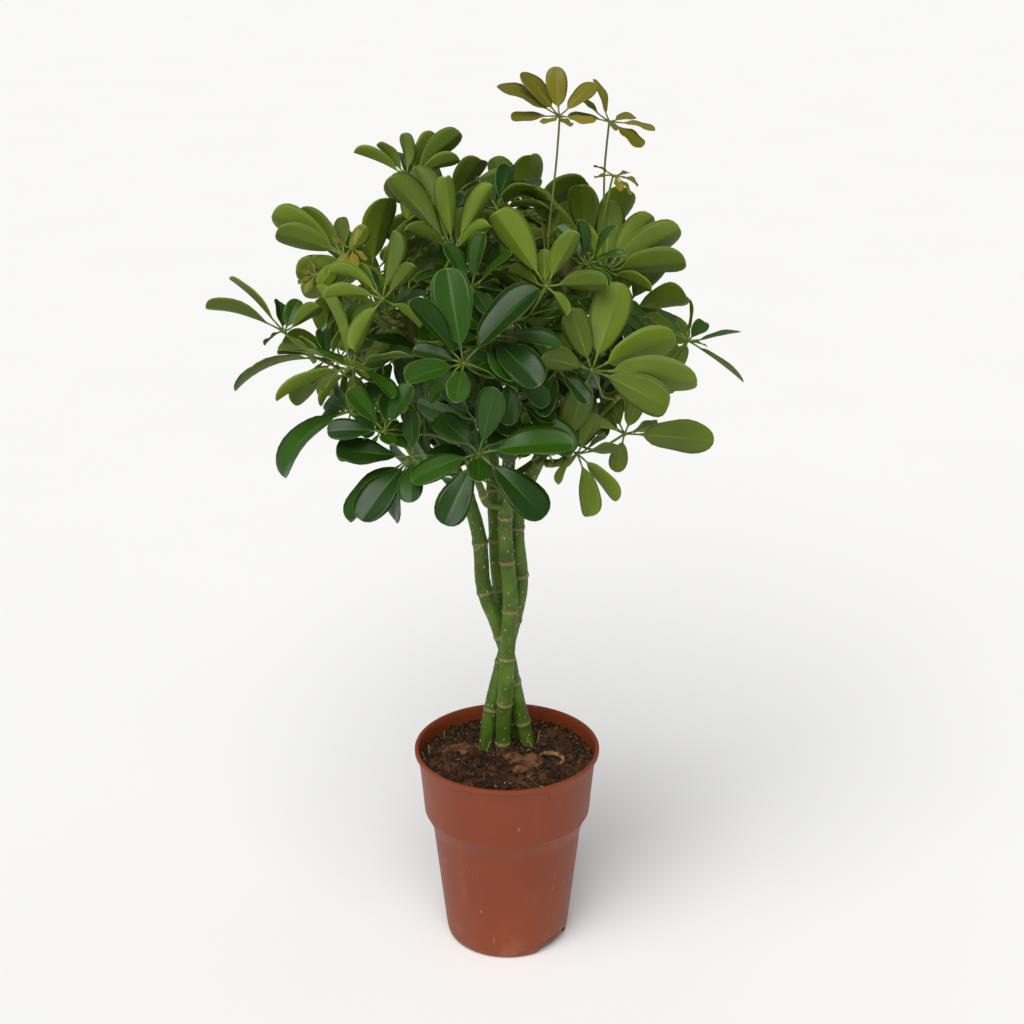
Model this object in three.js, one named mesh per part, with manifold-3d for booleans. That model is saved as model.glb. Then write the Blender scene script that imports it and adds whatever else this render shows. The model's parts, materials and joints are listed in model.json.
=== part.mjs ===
// A potted umbrella tree: four braided stems in a plastic nursery pot, with a crown of hand-shaped leaves.
// Millimetres, +Z up. The origin is on the floor, in the middle of the pot's underside; -Y is the front.

import * as THREE from 'three';
import { mergeVertices } from 'three/addons/utils/BufferGeometryUtils.js';
import Module from 'manifold-3d';

const wasm = await Module();
wasm.setup();

// ---- driving dimensions ----

const rimRadius = 85;
const rimHeight = 194.5;
const lipHeight = 4.5;
const wall = 1.3;
const shoulderHeight = 117;
const collarHeight = 133;
const footRadius = 53;
const footWidth = 3.5;
const bossRadius = 16;
const footClearance = 3;
const baseThickness = 1.6;
const notchHeight = 13;
const notchWidth = 44;
const notchDepth = 7;
const notchTurns = [-37, 143];
const pocketFloor = 1.5;
const pocketCeiling = 30;
const drainRadius = 3;
const potSides = 36;

const soilHeight = 182;
const soilMound = 4;
const soilShoulder = 6;
const gap = 0.35;

const stemSides = 8;
const ringSpacing = 19;
const stemFoot = 128;
const stemBaseRadius = 6.9;
const stemTipRadius = 4.6;
const branchRadius = 3.6;

const viewTilt = 21;
const petioleRadius = 1.1;
const hubRadius = 2.5;
const hubHeight = 2.6;
const bladeRatio = 0.235;
const bladeThickness = 0.55;
const petioluleShare = 0.16;
const clearance = 0.5;
const budSpacing = 7;
const lowestBud = 396;
const stalkLeaving = 0.3;
const stalkArriving = 0.35;
const stalkTurn = 0.55;
const stalkSags = [0, 12, -12, 24];
const stalkRise = 30;
const stalkStarts = 14;
const stalkStartsAtFoot = 6;
const stalkShortfall = 1.4;
const neighbourReach = 130;
const fewestLeaflets = 4;

// Stem routes, chosen by hand: four stems cross at the waist of the braid, then part in the crown.
const stemRoutes = {
  stem_front: [
    [-4, 14, stemFoot], [-4, 14, 182], [-3, 7, 225], [-1, 2, 250], [0, 0, 282], [2, 0, 315],
    [3, 1, 345], [1, 2, 370], [-1, 3, 395], [-1, -2, 430], [2, -16, 480], [6, -30, 550], [2, -38, 610],
  ],
  stem_right: [
    [19, 22, stemFoot], [19, 22, 182], [11, 18, 225], [6, 15, 250], [0, 14.3, 282], [-10, 13.5, 315],
    [-20.5, 13, 345], [-22.5, 14, 370], [-24.5, 14, 395], [-33, 12, 430], [-52, 4, 480], [-72, -8, 545],
    [-84, -12, 615],
  ],
  stem_left: [
    [-20, 16, stemFoot], [-20, 16, 182], [-14, 19, 225], [-8, 24.4, 250], [0, 28.8, 282], [7, 22, 315],
    [12, 18, 345], [11.5, 18, 370], [9, 17, 395], [12, 16, 430], [32, 12, 480], [47, 8, 550], [50, 10, 640],
  ],
  stem_back: [
    [4, 34, stemFoot], [4, 34, 182], [3, 36, 225], [1, 39.6, 250], [0, 43.3, 282], [-4, 36, 315],
    [-7, 32, 345], [-9, 31, 370], [-10, 34, 395], [-12, 44, 430], [-14, 58, 480], [-16, 76, 560],
    [-20, 84, 655],
  ],
};

// Side branches: the stem that each grows from, the height where it leaves, and the points it passes.
const branchRoutes = {
  branch_left_low: ['stem_right', 500, [[-88, -16, 530], [-118, -28, 565]]],
  branch_left_back: ['stem_right', 455, [[-74, 34, 500], [-104, 52, 560]]],
  branch_right_low: ['stem_left', 470, [[66, -6, 500], [92, -18, 535]]],
  branch_right_back: ['stem_left', 530, [[74, 38, 565], [88, 56, 620]]],
  branch_back_left: ['stem_back', 490, [[-42, 98, 535], [-56, 122, 590]]],
  branch_back_right: ['stem_back', 510, [[18, 104, 555], [34, 124, 610]]],
  branch_front_low: ['stem_front', 435, [[-26, -34, 470], [-44, -62, 515]]],
};

// Leaves. hub: where the leaflets meet. face: the way the upper sides look. Directions are [clock, lean]
// in degrees, as seen from the front and a little above: clock 0 is right and 90 is up, lean is towards
// the front. Each leaflet is [clock, lean, reach, bend], where reach is the straight distance to its tip
// and bend, if given, is how far its tip arches over. fold is how far the two halves close towards each
// other. The first leaves keep their places, and later ones grow into the room that is left.
const leafPlan = [
  { hub: [-22, -120, 522], face: [90, 62], fold: 10,
    leaflets: [[75, 25, 58], [5, 10, 76], [-45, 10, 74], [-115, 10, 64], [-157, 10, 58], [-90, 60, 44]] },
  { hub: [-33, -125, 598], face: [95, 52], fold: 26,
    leaflets: [[100, 0, 76], [132, 10, 66], [165, -10, 42], [-160, 35, 56], [45, 4, 82], [-100, 45, 46]] },
  { hub: [-76, -100, 512], face: [100, 42], fold: 14,
    leaflets: [[175, 10, 62], [-135, -5, 74], [-127, 22, 70], [-88, 30, 48], [-105, -25, 60], [90, 15, 40]] },
  { hub: [69, -75, 577], face: [105, -55], fold: 12,
    leaflets: [[72, -5, 76], [22, -5, 74], [-8, 10, 86], [-28, 5, 70], [170, 40, 54], [110, 20, 54]] },
  { hub: [-98, -85, 528], face: [90, 55], fold: 16,
    leaflets: [[130, 20, 46], [180, 10, 46], [85, -30, 38], [60, 10, 44], [-60, 70, 36]] },
  { hub: [32, -65, 644], face: [90, -45], fold: 22,
    leaflets: [[125, 10, 72], [60, 10, 50], [0, 15, 50], [150, -40, 44], [-60, 30, 34]] },
  { hub: [-43, -45, 668], face: [95, -38], fold: 42,
    leaflets: [[130, 5, 78], [113, -8, 78], [95, 25, 62], [60, 5, 62], [160, 35, 48], [30, 35, 42]] },
  { hub: [-8, 25, 688], face: [85, 15], fold: 34,
    leaflets: [[155, 5, 50, 185], [40, 0, 54], [18, 12, 60], [-8, 22, 54], [-165, 35, 40], [75, -30, 50]] },
  { hub: [-83, 50, 710], face: [80, -25], fold: 26,
    leaflets: [[40, 5, 58], [62, -18, 48], [95, 0, 38], [133, 5, 38], [157, 8, 50], [18, -12, 46]] },
  { hub: [82, 0, 640], face: [75, -45], fold: 18,
    leaflets: [[85, 0, 60], [50, 0, 62], [30, 5, 72], [5, 10, 68], [-25, 20, 44], [115, -25, 46]] },
  { hub: [-133, -10, 655], face: [60, -45], fold: 14,
    leaflets: [[150, 0, 70], [135, -6, 56], [163, 8, 60], [100, -30, 42], [-128, 20, 36], [50, 30, 34]] },
  { hub: [-185, -20, 594], face: [70, -8], fold: 22,
    leaflets: [[135, 0, 64], [163, 5, 68], [70, -15, 34], [-135, 30, 24], [35, 20, 40]] },
  { hub: [-148, -40, 576], face: [95, -10], fold: 24,
    leaflets: [[-160, 5, 80, 60], [172, -15, 44], [140, -35, 38], [60, 10, 34], [-110, 30, 30]] },
  { hub: [-124, -70, 578], face: [100, 5], fold: 30,
    leaflets: [[-155, 10, 68], [112, 5, 74], [85, 5, 58], [8, 22, 54], [-130, -20, 44], [-40, 30, 50]] },
  { hub: [-128, -58, 537], face: [140, 30], fold: 16,
    leaflets: [[-135, 10, 78, 80], [-165, -30, 34], [120, -20, 30], [-45, 35, 36], [-95, 15, 44]] },
  { hub: [-97, -85, 639], face: [65, -20], fold: 36,
    leaflets: [[155, 5, 48, 60], [80, 0, 56], [180, 5, 48], [-118, 15, 50], [45, 25, 40], [120, -35, 40]] },
  { hub: [152, -15, 585], face: [60, 10], fold: 14,
    leaflets: [[130, -15, 38], [85, 10, 36], [12, -5, 46], [-38, 8, 58], [-25, 60, 26], [165, 50, 22]] },
  { hub: [100, -25, 506], face: [80, -40], fold: 12,
    leaflets: [[-5, 0, 76], [112, -5, 46], [68, 5, 36], [20, -25, 34], [162, 20, 34]] },
  { hub: [-15, -90, 612], face: [90, 42], fold: 22,
    leaflets: [[-65, 40, 58], [-48, 25, 72], [-12, 8, 60], [120, 0, 34], [40, -15, 40]] },
  { hub: [58, -72, 505], face: [75, -35], fold: 10,
    leaflets: [[-80, 5, 54], [-50, -5, 52], [62, -18, 40], [5, -25, 40], [-120, 25, 34]] },
  { hub: [6, -62, 548], face: [90, 40], fold: 12,
    leaflets: [[-30, 20, 40], [-42, 5, 66], [55, -5, 34], [-100, 40, 48], [150, 15, 30]] },
  { hub: [41, -62, 574], face: [85, 45], fold: 18,
    leaflets: [[-105, 30, 48], [-50, 10, 40], [35, -10, 36], [115, -5, 38]] },
  { hub: [65, -35, 655], face: [95, 25], fold: 30,
    leaflets: [[100, 15, 38], [52, 10, 40], [125, -15, 42], [170, 30, 34], [-55, 40, 36], [10, 15, 34]] },
  { hub: [-28, -72, 645], face: [95, 35], fold: 18,
    leaflets: [[120, 5, 42], [78, 8, 46], [40, 15, 44], [-175, 25, 38], [-60, 45, 38]] },
  { hub: [43, 15, 763], face: [90, 35], fold: 6, young: true, foot: [48, 12, 634],
    leaflets: [[95, 5, 41], [130, 5, 47], [155, 5, 56], [-175, 10, 40], [-140, 55, 30], [-62, 58, 26],
      [-15, 25, 32], [45, -10, 42]] },
  { hub: [85, 25, 760], face: [75, 30], fold: 12, young: true, foot: [52, 14, 630],
    leaflets: [[110, 5, 38], [143, 10, 38], [178, 15, 36], [20, -35, 28], [-12, 5, 38], [-42, 15, 36],
      [-75, 60, 22]] },
  { hub: [88, 8, 719], face: [75, 15], fold: 14, young: true, foot: [54, 8, 628],
    leaflets: [[155, 0, 18, 50], [-165, 25, 18], [-75, 35, 20], [-52, 15, 22], [-25, 0, 22, 50],
      [20, -35, 18]] },
  { hub: [-158, 0, 638], face: [100, 30], fold: 16, young: true,
    leaflets: [[165, 0, 17], [-150, 15, 18], [-115, 20, 20], [120, -25, 16], [-60, 35, 16]] },
  { hub: [28, 20, 690], face: [90, 20], fold: 16, young: true,
    leaflets: [[160, 0, 22], [-165, 15, 24], [-10, 5, 22], [-40, 20, 20], [60, -25, 20]] },
  { hub: [-125, -35, 668], face: [95, 30], fold: 20, young: true,
    leaflets: [[150, 10, 18], [-120, 25, 22], [-80, 30, 24], [70, -10, 18], [-45, 25, 18]] },
  { hub: [-62, -22, 575], face: [100, 30], fold: 16, whorl: [7, 62, 10] },
  { hub: [16, -18, 592], face: [80, 35], fold: 16, whorl: [7, 58, 30] },
  { hub: [-20, 22, 632], face: [95, 20], fold: 18, whorl: [7, 60, 0] },
  { hub: [-52, 92, 668], face: [100, -40], fold: 16, whorl: [8, 64, 10] },
  { hub: [16, 104, 664], face: [80, -45], fold: 18, whorl: [8, 64, 40] },
  { hub: [-118, 70, 620], face: [120, -40], fold: 14, whorl: [8, 66, 0] },
  { hub: [70, 84, 640], face: [65, -45], fold: 16, whorl: [8, 64, 20] },
  { hub: [104, 56, 592], face: [50, -40], fold: 14, whorl: [8, 66, 5] },
  { hub: [58, 146, 610], face: [80, -62], fold: 16, whorl: [8, 68, 30] },
  { hub: [-34, 160, 622], face: [95, -66], fold: 14, whorl: [8, 68, 15] },
  { hub: [-108, 132, 572], face: [115, -60], fold: 18, whorl: [8, 66, 0] },
  { hub: [104, 100, 535], face: [50, -60], fold: 14, whorl: [7, 62, 25] },
  { hub: [6, 162, 540], face: [85, -72], fold: 14, whorl: [8, 66, 10] },
  { hub: [-146, 48, 552], face: [140, -35], fold: 14, whorl: [6, 58, 15] },
  { hub: [-62, 62, 600], face: [100, -10], fold: 14, whorl: [7, 58, 20] },
  { hub: [24, 52, 600], face: [80, -10], fold: 14, whorl: [7, 58, 50] },
  { hub: [-36, 30, 520], face: [100, 0], fold: 14, whorl: [7, 56, 10] },
];

// ---- materials ----

const materials = {
  pot: new THREE.MeshStandardMaterial({ color: 0x9d4b2e, roughness: 0.5, metalness: 0 }),
  soil: new THREE.MeshStandardMaterial({ color: 0x2b1f18, roughness: 0.95, metalness: 0 }),
  stem: new THREE.MeshStandardMaterial({ color: 0x55691c, roughness: 0.65, metalness: 0 }),
  leaf: new THREE.MeshStandardMaterial({ color: 0x2c4a10, roughness: 0.35, metalness: 0 }),
  young: new THREE.MeshStandardMaterial({ color: 0x6f6a12, roughness: 0.45, metalness: 0 }),
};

// ---- small helpers ----

const vec = (x, y, z) => new THREE.Vector3(x, y, z);
const radians = THREE.MathUtils.degToRad;
const along = (from, direction, distance) => from.clone().addScaledVector(direction, distance);

// An even spread of values between -1 and 1 that depends only on n, for the plant's small irregularities.
function scatter(n) {
  const value = Math.sin(n * 12.9898 + 4.1414) * 43758.5453;
  return 2 * (value - Math.floor(value)) - 1;
}

// A clock and lean direction as a unit vector.
function seen(clock, lean) {
  const tilt = radians(viewTilt);
  const across = vec(1, 0, 0);
  const upward = vec(0, Math.sin(tilt), Math.cos(tilt));
  const toward = vec(0, -Math.cos(tilt), Math.sin(tilt));
  return vec(0, 0, 0)
    .addScaledVector(across, Math.cos(radians(lean)) * Math.cos(radians(clock)))
    .addScaledVector(upward, Math.cos(radians(lean)) * Math.sin(radians(clock)))
    .addScaledVector(toward, Math.sin(radians(lean)));
}

// The part of a vector that is square to a direction, as a unit vector.
function squareTo(vector, direction) {
  return vector.clone().addScaledVector(direction, -vector.dot(direction)).normalize();
}

// A closed skin built ring by ring. Rings run anticlockwise about the direction of growth.
class Skin {
  points = [];
  faces = [];

  point(p) {
    this.points.push(p);
    return this.points.length - 1;
  }

  ring(centre, sideways, upwards, radius, sides) {
    const corners = [];
    for (let k = 0; k < sides; k++) {
      const turn = (2 * Math.PI * k) / sides;
      const p = along(along(centre, sideways, radius * Math.cos(turn)), upwards, radius * Math.sin(turn));
      corners.push(this.point(p));
    }
    return corners;
  }

  bridge(lower, upper) {
    const n = lower.length;
    for (let k = 0; k < n; k++) {
      const next = (k + 1) % n;
      this.faces.push([lower[k], lower[next], upper[next]], [lower[k], upper[next], upper[k]]);
    }
  }

  // Joins two rings with different numbers of corners, stepping round both of them evenly.
  stitch(lower, upper) {
    const start = this.nearest(this.points[lower[0]], upper);
    let [i, j] = [0, 0];
    while (i < lower.length || j < upper.length) {
      const a = lower[i % lower.length];
      const b = upper[(start + j) % upper.length];
      if ((i + 1) / lower.length <= (j + 1) / upper.length) {
        this.faces.push([a, lower[(i + 1) % lower.length], b]);
        i++;
      } else {
        this.faces.push([a, upper[(start + j + 1) % upper.length], b]);
        j++;
      }
    }
  }

  nearest(p, ring) {
    const distances = ring.map((index) => this.points[index].distanceTo(p));
    return distances.indexOf(Math.min(...distances));
  }

  closeStart(tip, ring) {
    ring.forEach((corner, k) => this.faces.push([tip, ring[(k + 1) % ring.length], corner]));
  }

  closeEnd(tip, ring) {
    ring.forEach((corner, k) => this.faces.push([tip, corner, ring[(k + 1) % ring.length]]));
  }

  closeFlat(ring) {
    for (let k = 1; k < ring.length - 1; k++) this.faces.push([ring[0], ring[k], ring[k + 1]]);
  }

  geometry() {
    const geometry = new THREE.BufferGeometry();
    const positions = this.points.flatMap((p) => [p.x, p.y, p.z]);
    geometry.setAttribute('position', new THREE.Float32BufferAttribute(positions, 3));
    geometry.setIndex(this.faces.flat());
    geometry.computeVertexNormals();
    return geometry;
  }
}

// Sweeps a round section along a curve, with a flat-sided frame that does not spin, and closes both ends.
function sweep(curve, steps, sides, radiusAt) {
  const skin = new Skin();
  let sideways = vec(1, 0, 0);
  let previous = null;
  for (let k = 0; k <= steps; k++) {
    const share = k / steps;
    const centre = curve.getPointAt(share);
    const tangent = curve.getTangentAt(share);
    sideways = squareTo(sideways, tangent);
    const upwards = tangent.clone().cross(sideways);
    const radius = radiusAt(share);
    const ring = skin.ring(centre, sideways, upwards, radius, sides);
    if (previous) skin.bridge(previous, ring);
    else skin.closeStart(skin.point(along(centre, tangent, -0.3 * radius)), ring);
    if (k === steps) skin.closeEnd(skin.point(along(centre, tangent, 0.6 * radius)), ring);
    previous = ring;
  }
  return skin;
}

// ---- cutting and joining ----

function toSolid(geometry) {
  const bare = geometry.clone();
  bare.deleteAttribute('normal');
  bare.deleteAttribute('uv');
  const merged = mergeVertices(bare, 1e-4);
  return new wasm.Manifold(new wasm.Mesh({
    numProp: 3,
    vertProperties: new Float32Array(merged.attributes.position.array),
    triVerts: new Uint32Array(merged.index.array),
  }));
}

function toGeometry(solid) {
  const mesh = solid.getMesh();
  const geometry = new THREE.BufferGeometry();
  geometry.setAttribute('position', new THREE.Float32BufferAttribute(mesh.vertProperties, 3));
  geometry.setIndex(Array.from(mesh.triVerts));
  geometry.computeVertexNormals();
  return geometry;
}

// A lathe about Z from [radius, height] pairs that start and end on the axis or close on themselves.
function lathe(profile, sides) {
  const points = profile.map(([radius, height]) => new THREE.Vector2(radius, height));
  return new THREE.LatheGeometry(points, sides).rotateX(Math.PI / 2);
}

// ---- pot ----

// The drain notch: an arch pressed into the foot of the pot, seen from outside as a low doorway.
function notchBlock(turn, grow) {
  const halfWidth = notchWidth / 2 + grow;
  const arch = new THREE.Shape();
  arch.moveTo(-halfWidth, -1 - grow);
  arch.lineTo(halfWidth, -1 - grow);
  arch.lineTo(halfWidth, 2);
  arch.quadraticCurveTo(0.7 * halfWidth, notchHeight + grow, 0, notchHeight + grow);
  arch.quadraticCurveTo(-0.7 * halfWidth, notchHeight + grow, -halfWidth, 2);
  arch.closePath();
  const depth = notchDepth + 10 + grow;
  const block = new THREE.ExtrudeGeometry(arch, { depth, bevelEnabled: false, curveSegments: 4 });
  block.rotateX(Math.PI / 2).translate(0, footRadius + 10, 0);
  block.rotateZ(radians(turn - 90));
  return toSolid(block);
}

// The wall from foot to lip as [radius, height] pairs, less an inset.
function wallLine(inset) {
  return [
    [footRadius + 4.2 - inset, 8],
    [footRadius + 5 - inset, 13.5],
    [68.5 - inset, 112],
    [69.8 - inset, shoulderHeight],
    [73.6 - inset, 122],
    [75.6 - inset, 127],
    [76.6 - inset, collarHeight],
    [78.9 - inset, 160],
    [80.9 - inset, 180],
    [81.6 - inset, 187],
  ];
}

// The wall's radius at a height between two of the wall line's points, less an inset.
function wallRadius(height, inset) {
  const line = wallLine(inset);
  const above = line.findIndex(([, level]) => level >= height);
  const [lowerRadius, lower] = line[above - 1];
  const [upperRadius, upper] = line[above];
  return THREE.MathUtils.mapLinear(height, lower, upper, lowerRadius, upperRadius);
}

function makePot() {
  const floorTop = footClearance + baseThickness;
  const profile = [
    [0, 0],
    [bossRadius, 0],
    [bossRadius + 2, footClearance],
    [footRadius - footWidth - 1, footClearance],
    [footRadius - footWidth, 0],
    [footRadius, 0],
    [footRadius + 2.6, 2.2],
    ...wallLine(0),
    [rimRadius - 0.6, rimHeight - lipHeight],
    [rimRadius, rimHeight - lipHeight + 1],
    [rimRadius, rimHeight - 1],
    [rimRadius - 0.7, rimHeight],
    [rimRadius - 3, rimHeight],
    ...wallLine(wall).reverse(),
    [footRadius - 1, floorTop],
    [0, floorTop],
  ];
  let pot = toSolid(lathe(profile, potSides));
  for (const turn of notchTurns) {
    const inside = lathe([
      [0, pocketFloor],
      [footRadius + 1.5, pocketFloor],
      [footRadius + 4, pocketCeiling],
      [0, pocketCeiling],
      [0, pocketFloor],
    ], potSides);
    pot = pot.add(notchBlock(turn, wall).intersect(toSolid(inside)));
    pot = pot.subtract(notchBlock(turn, 0));
    const hole = new THREE.CylinderGeometry(drainRadius, drainRadius, 3 * wall, 10);
    hole.rotateZ(Math.PI / 2).translate(footRadius - notchDepth - wall / 2, 0, notchHeight - 5.5);
    pot = pot.subtract(toSolid(hole.rotateZ(radians(turn))));
  }
  return toGeometry(pot);
}

// ---- soil ----

// A gentle mound round the stems, level near the wall, with shallow waves and one lump of fibre in front.
function soilTop(x, y) {
  const fromStems = Math.hypot(x, y - 18);
  const mound = soilMound * Math.exp(-((fromStems / 30) ** 2));
  const waves = 1.1 * Math.sin(x / 9 + 1) * Math.cos(y / 11) + 0.6 * Math.sin((x + 2 * y) / 7);
  const lump = 7 * Math.exp(-(((x - 30) / 9) ** 2) - ((y + 4) / 7) ** 2);
  return soilHeight + mound + waves + lump;
}

function makeSoil(stemSkins) {
  const floorTop = footClearance + baseThickness + gap;
  const sideTop = soilHeight - soilShoulder;
  const side = wallLine(wall + gap).filter(([, height]) => height < sideTop);
  const edge = wallRadius(sideTop, wall + gap);
  const topRings = [edge - 1.5, 60, 44, 30, 16];
  const profile = [
    [0, floorTop],
    [footRadius - 1.2 - gap, floorTop],
    ...side,
    [edge, sideTop],
    ...topRings.map((radius) => [radius, soilHeight]),
    [0, soilHeight],
  ];
  const body = lathe(profile, 30);
  const position = body.attributes.position;
  for (let k = 0; k < position.count; k++) {
    if (position.getZ(k) < soilHeight - 1) continue;
    const [x, y] = [position.getX(k), position.getY(k)];
    const level = Math.hypot(x, y) > edge - 2 ? soilHeight - 1 : soilTop(x, y);
    position.setZ(k, level);
  }
  let soil = toSolid(body);
  for (const turn of notchTurns) soil = soil.subtract(notchBlock(turn, wall + gap));
  for (const skin of stemSkins) soil = soil.subtract(toSolid(skin.geometry()));
  return toGeometry(soil);
}

// ---- stems and branches ----

function routeCurve(points) {
  return new THREE.CatmullRomCurve3(points.map((p) => (p.isVector3 ? p : vec(...p))), false, 'centripetal');
}

function stemRadius(share) {
  return THREE.MathUtils.lerp(stemBaseRadius, stemTipRadius, Math.max(0, share - 0.45) / 0.55);
}

const supports = [];
function addSupport(name, curve, radiusAt) {
  const steps = Math.round(curve.getLength() / ringSpacing);
  supports.push({ name, curve, radiusAt, skin: sweep(curve, steps, stemSides, radiusAt), steps });
}

for (const [name, points] of Object.entries(stemRoutes)) {
  addSupport(name, routeCurve(points), stemRadius);
}

function shareAtHeight(curve, height) {
  let [low, high] = [0, 1];
  for (let k = 0; k < 30; k++) {
    const middle = (low + high) / 2;
    if (curve.getPointAt(middle).z < height) low = middle;
    else high = middle;
  }
  return low;
}

for (const [name, [parentName, height, points]] of Object.entries(branchRoutes)) {
  const parent = supports.find((support) => support.name === parentName);
  const share = shareAtHeight(parent.curve, height);
  const centre = parent.curve.getPointAt(share);
  const outward = squareTo(vec(...points[0]).sub(centre), parent.curve.getTangentAt(share));
  const radiusAt = (place) => THREE.MathUtils.lerp(branchRadius, 0.75 * branchRadius, place);
  const start = along(centre, outward, parent.radiusAt(share) + 0.3 * branchRadius + 2 * gap);
  addSupport(name, routeCurve([start, along(start, outward, 8), ...points]), radiusAt);
}

// ---- crossing test ----

const grown = [];

function makeShell(skin, faces = skin.faces) {
  const box = new THREE.Box3();
  const triangles = faces.map((face) => {
    const corners = face.map((index) => skin.points[index]);
    corners.forEach((corner) => box.expandByPoint(corner));
    return { corners, box: new THREE.Box3().setFromPoints(corners) };
  });
  return { triangles, box };
}

const ray = new THREE.Ray();
const hit = new THREE.Vector3();

function edgePierces(from, to, [a, b, c]) {
  const length = from.distanceTo(to);
  ray.origin.copy(from);
  ray.direction.copy(to).sub(from).divideScalar(length);
  return ray.intersectTriangle(a, b, c, false, hit) !== null && from.distanceTo(hit) < length;
}

function trianglesCross(first, second) {
  if (!first.box.intersectsBox(second.box)) return false;
  for (let k = 0; k < 3; k++) {
    const next = (k + 1) % 3;
    if (edgePierces(first.corners[k], first.corners[next], second.corners)) return true;
    if (edgePierces(second.corners[k], second.corners[next], first.corners)) return true;
  }
  return false;
}

function shellsCross(first, second) {
  if (!first.box.intersectsBox(second.box)) return false;
  const close = second.triangles.filter((triangle) => triangle.box.intersectsBox(first.box));
  return first.triangles.some((triangle) => close.some((other) => trianglesCross(triangle, other)));
}

const isFree = (shell, others = grown) => !others.some((other) => shellsCross(shell, other));

for (const { curve, steps, radiusAt } of supports) {
  grown.push(makeShell(sweep(curve, 2 * steps, stemSides, (share) => radiusAt(share) + clearance)));
}

// ---- leaves ----

// One leaflet's rings, from the stalk end to the tip: a thin blade, folded along its midrib and arched.
function leafletRings({ root, direction, upper, reach, bend, fold }, extra) {
  const arch = radians(bend);
  const half = arch / 2;
  const length = reach * (Math.abs(half) < 0.01 ? 1 : half / Math.sin(half));
  const start = direction.clone().multiplyScalar(Math.cos(half)).addScaledVector(upper, Math.sin(half));
  const lift = squareTo(upper, start);
  const stations = Math.abs(bend) > 58
    ? [[petioluleShare, 0], [0.34, 0.6], [0.52, 0.88], [0.7, 1], [0.86, 0.84]]
    : [[petioluleShare, 0], [0.48, 0.8], [0.8, 0.94]];
  const place = (share) => {
    if (Math.abs(arch) < 0.01) return along(root, start, length * share);
    const radius = length / arch;
    const forward = radius * Math.sin(arch * share);
    const down = radius * (1 - Math.cos(arch * share));
    return along(along(root, start, forward), lift, -down);
  };
  const rings = stations.map(([share, width]) => {
    const centre = place(share);
    const tangent = along(start.clone().multiplyScalar(Math.cos(arch * share)), lift, -Math.sin(arch * share));
    const up = squareTo(upper, tangent);
    const side = up.clone().cross(tangent);
    const halfWidth = width === 0 ? 0.9 + extra : bladeRatio * length * width + extra;
    const depth = (width === 0 ? 0.8 : bladeThickness) + extra;
    const turn = width === 0 ? 0 : radians(fold);
    const edge = (sign) => along(
      along(centre, side, sign * halfWidth * Math.cos(turn)), up, halfWidth * Math.sin(turn));
    return [along(centre, up, -depth), edge(1), along(centre, up, depth), edge(-1)];
  });
  return { rings, tip: along(place(1), start, extra) };
}

function leafletShell(leaflet) {
  const skin = new Skin();
  const { rings, tip } = leafletRings(leaflet, clearance);
  let previous = null;
  for (const ring of rings) {
    const corners = ring.map((p) => skin.point(p));
    if (previous) skin.bridge(previous, corners);
    else skin.closeStart(skin.point(leaflet.root), corners);
    previous = corners;
  }
  skin.closeEnd(skin.point(tip), previous);
  return makeShell(skin);
}

// The leaf's stalk: a curve from the side of the nearest free stem or branch to the hub.
const buds = [];
function petioleCurves(hub, face, foot) {
  const starts = [];
  for (const { curve, radiusAt } of supports) {
    const count = Math.floor(curve.getLength() / 6);
    for (let k = 1; k <= count; k++) {
      const share = k / count;
      const centre = curve.getPointAt(share);
      if (centre.z < lowestBud) continue;
      const outward = squareTo(hub.clone().sub(centre), curve.getTangentAt(share));
      const start = along(centre, outward, radiusAt(share) + 3 * clearance);
      if (buds.some((bud) => bud.distanceTo(start) < budSpacing)) continue;
      const drop = Math.max(0, stalkRise - (hub.z - start.z));
      const cost = foot ? start.distanceTo(vec(...foot)) : start.distanceTo(hub) + drop;
      starts.push({ start, outward, cost });
    }
  }
  starts.sort((a, b) => a.cost - b.cost);
  const curves = [];
  for (const { start, outward } of starts.slice(0, foot ? stalkStartsAtFoot : stalkStarts)) {
    const reach = start.distanceTo(hub);
    const arrive = face.clone().multiplyScalar(stalkTurn).add(hub.clone().sub(start).normalize()).normalize();
    for (const sag of stalkSags) {
      const leaving = along(start, outward, stalkLeaving * reach).add(vec(0, 0, sag));
      const arriving = along(hub, arrive, -stalkArriving * reach);
      curves.push(new THREE.CubicBezierCurve3(start, leaving, arriving, hub));
    }
  }
  return curves;
}

function petioleSkin(curve, radius) {
  const beforeHub = 1 - (stalkShortfall * hubHeight) / curve.getLength();
  const skin = new Skin();
  const rings = [];
  let sideways = vec(0.8, 0.6, 0);
  for (const place of [0, 0.25, 0.5, 0.75, 1]) {
    const share = place * beforeHub;
    const tangent = curve.getTangentAt(share);
    sideways = squareTo(sideways, tangent);
    const ring = skin.ring(curve.getPointAt(share), sideways, tangent.clone().cross(sideways), radius, 4);
    if (rings.length) skin.bridge(rings.at(-1), ring);
    rings.push(ring);
  }
  skin.closeStart(skin.point(along(curve.getPoint(0), curve.getTangentAt(0), -0.5 * radius)), rings[0]);
  return { skin, last: rings.at(-1) };
}

function petioleShell(curve, hub) {
  const { skin, last } = petioleSkin(curve, petioleRadius + clearance);
  skin.closeEnd(skin.point(hub), last);
  return makeShell(skin);
}

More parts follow.
